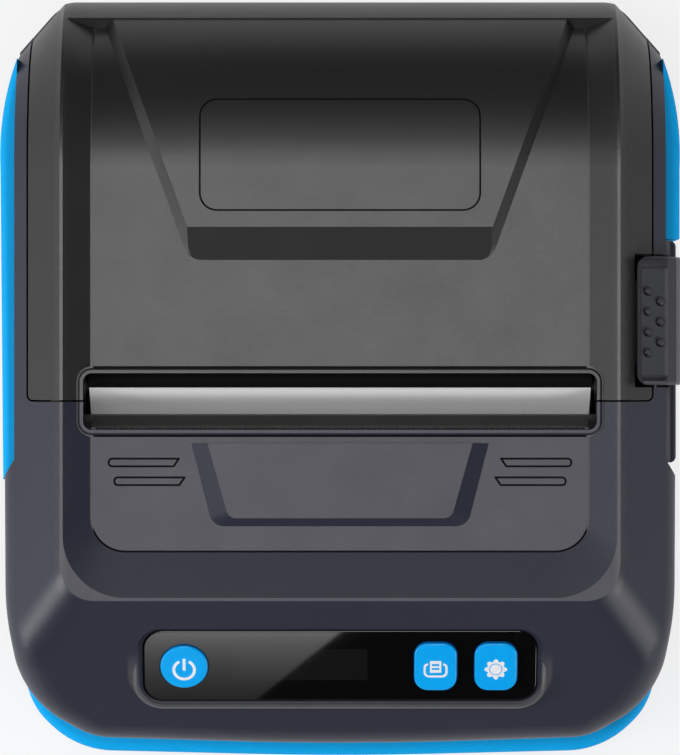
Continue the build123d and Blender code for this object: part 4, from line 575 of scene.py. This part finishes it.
def pins_finish():
    """Small parts of the main board: tinned ends and dark bodies, told apart by height."""
    f = Finish("board_parts", Specular_IOR_Level=0.5)
    z = f.parts()[2]
    tin = z.below(BOARD_TOP + 0.22)
    can = z.above(BOARD_TOP + 1.9)
    grain = f.noise(1800, 3, 0.6)
    body = f.mix(grain, CHIP_BLACK, (0.028, 0.028, 0.031))
    body = f.mix(can, body, (0.50, 0.51, 0.53))
    f.set(Base_Color=f.mix(tin, body, (0.60, 0.60, 0.58)), Metallic=tin.most(can))
    f.set(Roughness=0.36 + grain * 0.12, Normal=f.bump(grain, 0.02, 0.4))
    return f


# Studio


def linked(name, data):
    """An object in the scene."""
    made = bpy.data.objects.new(name, data)
    bpy.context.scene.collection.objects.link(made)
    return made


def mesh_object(name, mesh):
    """An object from a drawn mesh, which is freed."""
    data = bpy.data.meshes.new(name)
    mesh.to_mesh(data)
    mesh.free()
    return linked(name, data)


def camera():
    """Straight above the slot, with the photograph's narrow view."""
    data = bpy.data.cameras.new("camera")
    data.sensor_width = 36
    data.lens = data.sensor_width * CAMERA_DISTANCE / VIEW_HEIGHT
    data.clip_start = 0.05
    made = linked("camera", data)
    made.location = (0, 0.6 * MM, SLOT_LEVEL + CAMERA_DISTANCE)
    bpy.context.scene.camera = made


def softbox(name, size, place, power):
    """Soft rectangular lamp that faces the printer."""
    data = bpy.data.lights.new(name, "AREA")
    data.shape = "RECTANGLE"
    data.size, data.size_y = size
    data.energy = power
    made = linked(name, data)
    made.location = place
    made.rotation_euler = (LAMP_TARGET - Vector(place)).to_track_quat("-Z", "Y").to_euler()
    made.visible_camera = False


def floor_and_backdrop():
    """Pale floor that the camera sees nearly white, with the printer's soft shadow."""
    mesh = bmesh.new()
    bmesh.ops.create_grid(mesh, x_segments=1, y_segments=1, size=3)
    floor = mesh_object("floor", mesh)
    f = Finish("floor_paint", Roughness=0.9)
    f.set(Base_Color=f.mix(f.noise(60, 4), (0.80, 0.80, 0.80), (0.84, 0.84, 0.84)))
    seen = f.tree.nodes.new("ShaderNodeLightPath").outputs
    camera_ray = Value(f, seen["Is Camera Ray"])
    mirrored_ray = Value(f, seen["Is Glossy Ray"]).most(Value(f, seen["Is Transmission Ray"]))
    share = (camera_ray * 0.78).most(mirrored_ray * 0.3)
    white = f.node("ShaderNodeEmission", {}, {"Strength": 1})
    painted = Value(f, f.shader.outputs[0])
    f.surface(f.node("ShaderNodeMixShader", {}, {0: share, 1: painted, 2: white}))
    floor.data.materials.append(f.material)


def front_card():
    """Graded lamp card low in front, which the glossy panel mirrors at its left."""
    away = Vector((0, -sin(CARD_LEAN), cos(CARD_LEAN)))
    up = Vector((0, cos(CARD_LEAN), sin(CARD_LEAN)))
    middle = PANEL_MIDDLE + away * CARD_AWAY
    mesh = bmesh.new()
    bmesh.ops.create_grid(mesh, x_segments=1, y_segments=1, size=0.5)
    for vert in mesh.verts:
        across, along = CARD_CORNERS[(vert.co.x > 0) + 2 * (vert.co.y > 0)]
        vert.co = middle + Vector((across * MM, 0, 0)) + up * (along * MM)
    card = mesh_object("front_card", mesh)
    card.visible_camera = False
    card.visible_diffuse = False
    f = Finish("card_light")
    x, y, z = f.parts()
    height = (y - middle.y / MM) * up.y + (z - middle.z / MM) * up.z
    level = ((height / 10.8).least(1.6).most(-2.0) * 1.05).exponential()
    f.surface(f.node("ShaderNodeEmission", {}, {"Strength": level}))
    card.data.materials.append(f.material)


def world():
    """Dim grey to the camera alone, so that the world gives no light."""
    made = bpy.data.worlds.new("studio")
    bpy.context.scene.world = made
    made.use_nodes = True
    tree = made.node_tree
    seen = tree.nodes.new("ShaderNodeLightPath")
    background = tree.nodes["Background"]
    tree.links.new(seen.outputs["Is Camera Ray"], background.inputs["Strength"])


# Shapes


def edges_of(verts):
    """The edges at some vertices, each once and always in the same order."""
    return list(dict.fromkeys(edge for vert in verts for edge in vert.link_edges))


def faces_of(verts):
    """The faces at some vertices, each once and always in the same order."""
    return list(dict.fromkeys(face for vert in verts for face in vert.link_faces))


def rounded(mesh, edges, offset, segments):
    """Rounds edges off."""
    settings = {"profile": 0.5, "affect": "EDGES", "material": -1}
    bmesh.ops.bevel(mesh, geom=edges, offset=offset, segments=segments, **settings)


def slab(mesh, x, y, z, round_by=0.0):
    """A block between the limits given, its upright edges rounded."""
    verts = bmesh.ops.create_cube(mesh, size=1)["verts"]
    size = Vector((x[1] - x[0], y[1] - y[0], z[1] - z[0]))
    middle = Vector((x[0] + x[1], y[0] + y[1], z[0] + z[1])) / 2
    bmesh.ops.scale(mesh, vec=size, verts=verts)
    bmesh.ops.translate(mesh, vec=middle, verts=verts)
    if round_by:
        rises = {edge: edge.verts[0].co.z - edge.verts[1].co.z for edge in edges_of(verts)}
        upright = [edge for edge, rise in rises.items() if abs(rise) > 0.9 * size.z]
        rounded(mesh, upright, round_by, 4)


def raise_faces(mesh, faces, height):
    """Gives flat faces a thickness upwards."""
    made = bmesh.ops.extrude_face_region(mesh, geom=faces, use_keep_orig=True)
    verts = [part for part in made["geom"] if isinstance(part, bmesh.types.BMVert)]
    bmesh.ops.translate(mesh, vec=(0, 0, height), verts=verts)


def circle(mesh, radius, place, segments, filled=False):
    """A circle of edges, or a disc, lying flat."""
    settings = {"segments": segments, "matrix": Matrix.Translation(place)}
    return bmesh.ops.create_circle(mesh, cap_ends=filled, radius=radius, **settings)["verts"]


def band(mesh, place, inner, outer, start, sweep, height, steps=40):
    """An open ring, or a corner of one: its section spun about the middle."""
    verts = bmesh.ops.create_grid(mesh, x_segments=1, y_segments=1, size=0.5)["verts"]
    upright, turn = Matrix.Rotation(pi / 2, 3, "X"), Matrix.Rotation(start, 3, "Z")
    bmesh.ops.rotate(mesh, cent=(0, 0, 0), matrix=upright, verts=verts)
    bmesh.ops.scale(mesh, vec=(outer - inner, 1, height), verts=verts)
    bmesh.ops.translate(mesh, vec=((inner + outer) / 2, 0, height / 2), verts=verts)
    bmesh.ops.rotate(mesh, cent=(0, 0, 0), matrix=turn, verts=verts)
    bmesh.ops.translate(mesh, vec=place, verts=verts)
    section = list(verts) + edges_of(verts) + faces_of(verts)
    path = {"cent": place, "axis": (0, 0, 1), "angle": sweep, "steps": steps}
    bmesh.ops.spin(mesh, geom=section, dvec=(0, 0, 0), **path)
    bmesh.ops.holes_fill(mesh, edges=[edge for edge in mesh.edges if edge.is_boundary], sides=4)


def finished(name, mesh, body, finish, place=Matrix.Identity(4)):
    """Puts a drawn shape in its place as a piece that rides on a body."""
    bmesh.ops.recalc_face_normals(mesh, faces=mesh.faces)
    bmesh.ops.transform(mesh, matrix=place @ Matrix.Scale(MM, 4), verts=mesh.verts)
    made = mesh_object(name, mesh)
    made.data.materials.append(finishes[finish].material)
    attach(made, body)


def power_symbol():
    """Open ring with its bar."""
    mesh = bmesh.new()
    x, y = POWER_KEY
    band(mesh, (x, y, INK[0]), 1.42, 1.9, radians(117), radians(306), INK_DEPTH)
    slab(mesh, (x - 0.24, x + 0.24), (-0.6, 1.62), INK, 0.22)
    finished("power_symbol", mesh, "power_button", "key_print", PANEL)


def feed_symbol():
    """Tray with a sheet and its lines."""
    mesh = bmesh.new()
    quarter = radians(90)
    x, arm_y = FEED_KEY_X, -0.88
    slab(mesh, (x - 1.0, x + 1.0), (-1.82, -1.46), INK)
    for side in (-1, 1):
        low_corner = (x + side * 1.0, arm_y, INK[0])
        high_corner = (x + side * 1.22, 0.0, INK[0])
        band(mesh, low_corner, 0.58, 0.94, quarter * (2.5 + side / 2), quarter, INK_DEPTH, 10)
        slab(mesh, sorted((x + side * 1.58, x + side * 1.94)), (arm_y, 0.0), INK)
        band(mesh, high_corner, 0.36, 0.72, quarter * (0.5 - side / 2), quarter, INK_DEPTH, 10)
    for line in ((0.62, 1.16), (-0.1, 0.24), (-0.97, -0.46)):
        slab(mesh, (x - 0.92, x + 0.92), line, INK)
    for side in (-1, 1):
        edge = sorted((x + side * 0.6, x + side * 0.92))
        slab(mesh, edge, (-0.97, 1.16), (INK[0], INK[1] - 0.002))
    finished("feed_symbol", mesh, "feed_button", "key_print", PANEL)


def gear_symbol():
    """Cog of eight rounded teeth round a disc."""
    mesh = bmesh.new()
    teeth = 8
    place = Vector((*SETUP_KEY, INK[0]))
    rim = circle(mesh, 1.0, place, 96)
    for vert in rim:
        out = (vert.co - place).normalized()
        turn = out.to_2d().angle_signed(Vector((1, 0)), 0)
        radius = 1.63 + 0.24 * cos(teeth * turn) - 0.03 * cos(2 * teeth * turn)
        vert.co = place + out * radius
    hole = circle(mesh, 1.06, place, 96)
    faces = bmesh.ops.bridge_loops(mesh, edges=edges_of(rim + hole))["faces"]
    faces += faces_of(circle(mesh, 0.92, place, 40, True))
    raise_faces(mesh, faces, INK_DEPTH)
    finished("gear_symbol", mesh, "setup_button", "key_print", PANEL)


def tear_teeth():
    """Fine saw edge along the tear bar at the front lip of the slot."""
    mesh = bmesh.new()
    pitch, count = 0.9, 87
    first = -pitch * (count - 1) / 2
    for n in range(count):
        verts = bmesh.ops.create_cube(mesh, size=1)["verts"]
        bmesh.ops.scale(mesh, vec=(pitch * 0.96, 0.26, 0.5), verts=verts)
        top = [vert for vert in verts if vert.co.z > 0]
        bmesh.ops.scale(mesh, vec=(0.12, 0.5, 1), verts=top)
        bmesh.ops.translate(mesh, vec=(first + n * pitch, *TEAR_EDGE), verts=verts)
    finished("tear_teeth", mesh, "root", "black_steel")


def board_parts():
    """Legs of the chips, capacitors, crystal and small parts on the main board."""
    mesh = bmesh.new()
    z = BOARD_TOP
    for x, y, half, count in CHIPS:
        for n in range(count):
            leg = x + (n - (count - 1) / 2) * 0.95
            for side in (-1, 1):
                reach = sorted((y + side * (half - 0.1), y + side * (half + 0.9)))
                slab(mesh, (leg - 0.18, leg + 0.18), reach, (z, z + 0.2))
    for x, y, radius, high in CAPACITORS:
        size = {"segments": 28, "radius1": radius, "radius2": radius, "depth": high}
        turn = Matrix.Translation((x, y, z + high / 2))
        can = bmesh.ops.create_cone(mesh, cap_ends=True, matrix=turn, **size)["verts"]
        rims = [edge for edge in edges_of(can) if edge.calc_face_angle(0) > 1]
        rounded(mesh, rims, 0.25, 3)
    slab(mesh, (-9, -3), (-49.5, -46.5), (z, z + 2.4), 1.2)
    for n in range(15):
        x = -26 + n * 4.1
        slab(mesh, (x, x + 1.6), (-51.2, -50.3), (z, z + 0.2))
        slab(mesh, (x + 0.3, x + 1.3), (-51.2, -50.3), (z, z + 0.55))
    for n in range(9):
        x = -12 + n * 3.0
        slab(mesh, (x, x + 0.8), (-27.4, -25.8), (z, z + 0.2))
        slab(mesh, (x, x + 0.8), (-27.1, -26.1), (z, z + 0.5))
    finished("board_parts", mesh, "root", "board_parts")


camera()
bpy.context.scene.view_settings.view_transform = "Standard"
floor_and_backdrop()
front_card()
world()
for lamp in LAMPS:
    softbox(*lamp)

finishes = {
    "lever_plastic": lever_finish(),
    "lid_plastic": moulded("lid_plastic", LID, 0.36, marks=crown_marks, Specular_IOR_Level=0.42),
    "housing_plastic": moulded(
        "housing_plastic", SLATE, 0.38, marks=housing_marks, Specular_IOR_Level=0.36
    ),
    "blue_rubber": rubber("blue_rubber", BLUE, 0.6, Specular_IOR_Level=0.12),
    "gloss_lens": lens_finish(),
    "blue_keys": key_finish(),
    "key_print": print_finish(),
    "black_plastic": moulded(
        "black_plastic", (0.013, 0.013, 0.0145), 0.44, spread=0.12, Specular_IOR_Level=0.35
    ),
    "steel": brushed("steel", (0.50, 0.50, 0.51), 0.34),
    "zinc_sheet": zinc("zinc_sheet", (0.20, 0.20, 0.205), 0.42),
    "black_steel": zinc("black_steel", (0.035, 0.035, 0.037), 0.5),
    "heatsink_aluminium": brushed(
        "heatsink_aluminium", (0.055, 0.055, 0.058), 0.45, (25, 1400, 700)
    ),
    "head_ceramic": ceramic_finish(),
    "platen_rubber": rubber(
        "platen_rubber", (0.008, 0.008, 0.0085), 0.75, Specular_IOR_Level=0.12
    ),
    "gear_plastic": gear_finish(),
    "label_paper": paper_finish(),
    "core_card": card_finish(),
    "circuit_board": board_finish(),
    "display_glass": display_finish(),
    "battery_wrap": wrap_finish(),
    "contact_brass": contact_finish(),
    "board_parts": pins_finish(),
}

# Every CAD node takes its slot's finish; a few have their own
own_finish = {
    "mechanism_frame": "black_steel",
    "platen_shaft": "black_steel",
    "release_lever": "lever_plastic",
    "stepper_motor": "zinc_sheet",
    "usb_connector": "steel",
    "platen_bushes": "black_plastic",
}
slot_of = {row["node"]: row["material_slot"] for row in frame["record"]["subparts"]}
for name, node in nodes.items():
    finish = finishes[own_finish.get(name, slot_of[name])]
    for place in node.material_slots:
        place.material = finish.material

power_symbol()
feed_symbol()
gear_symbol()
tear_teeth()
board_parts()
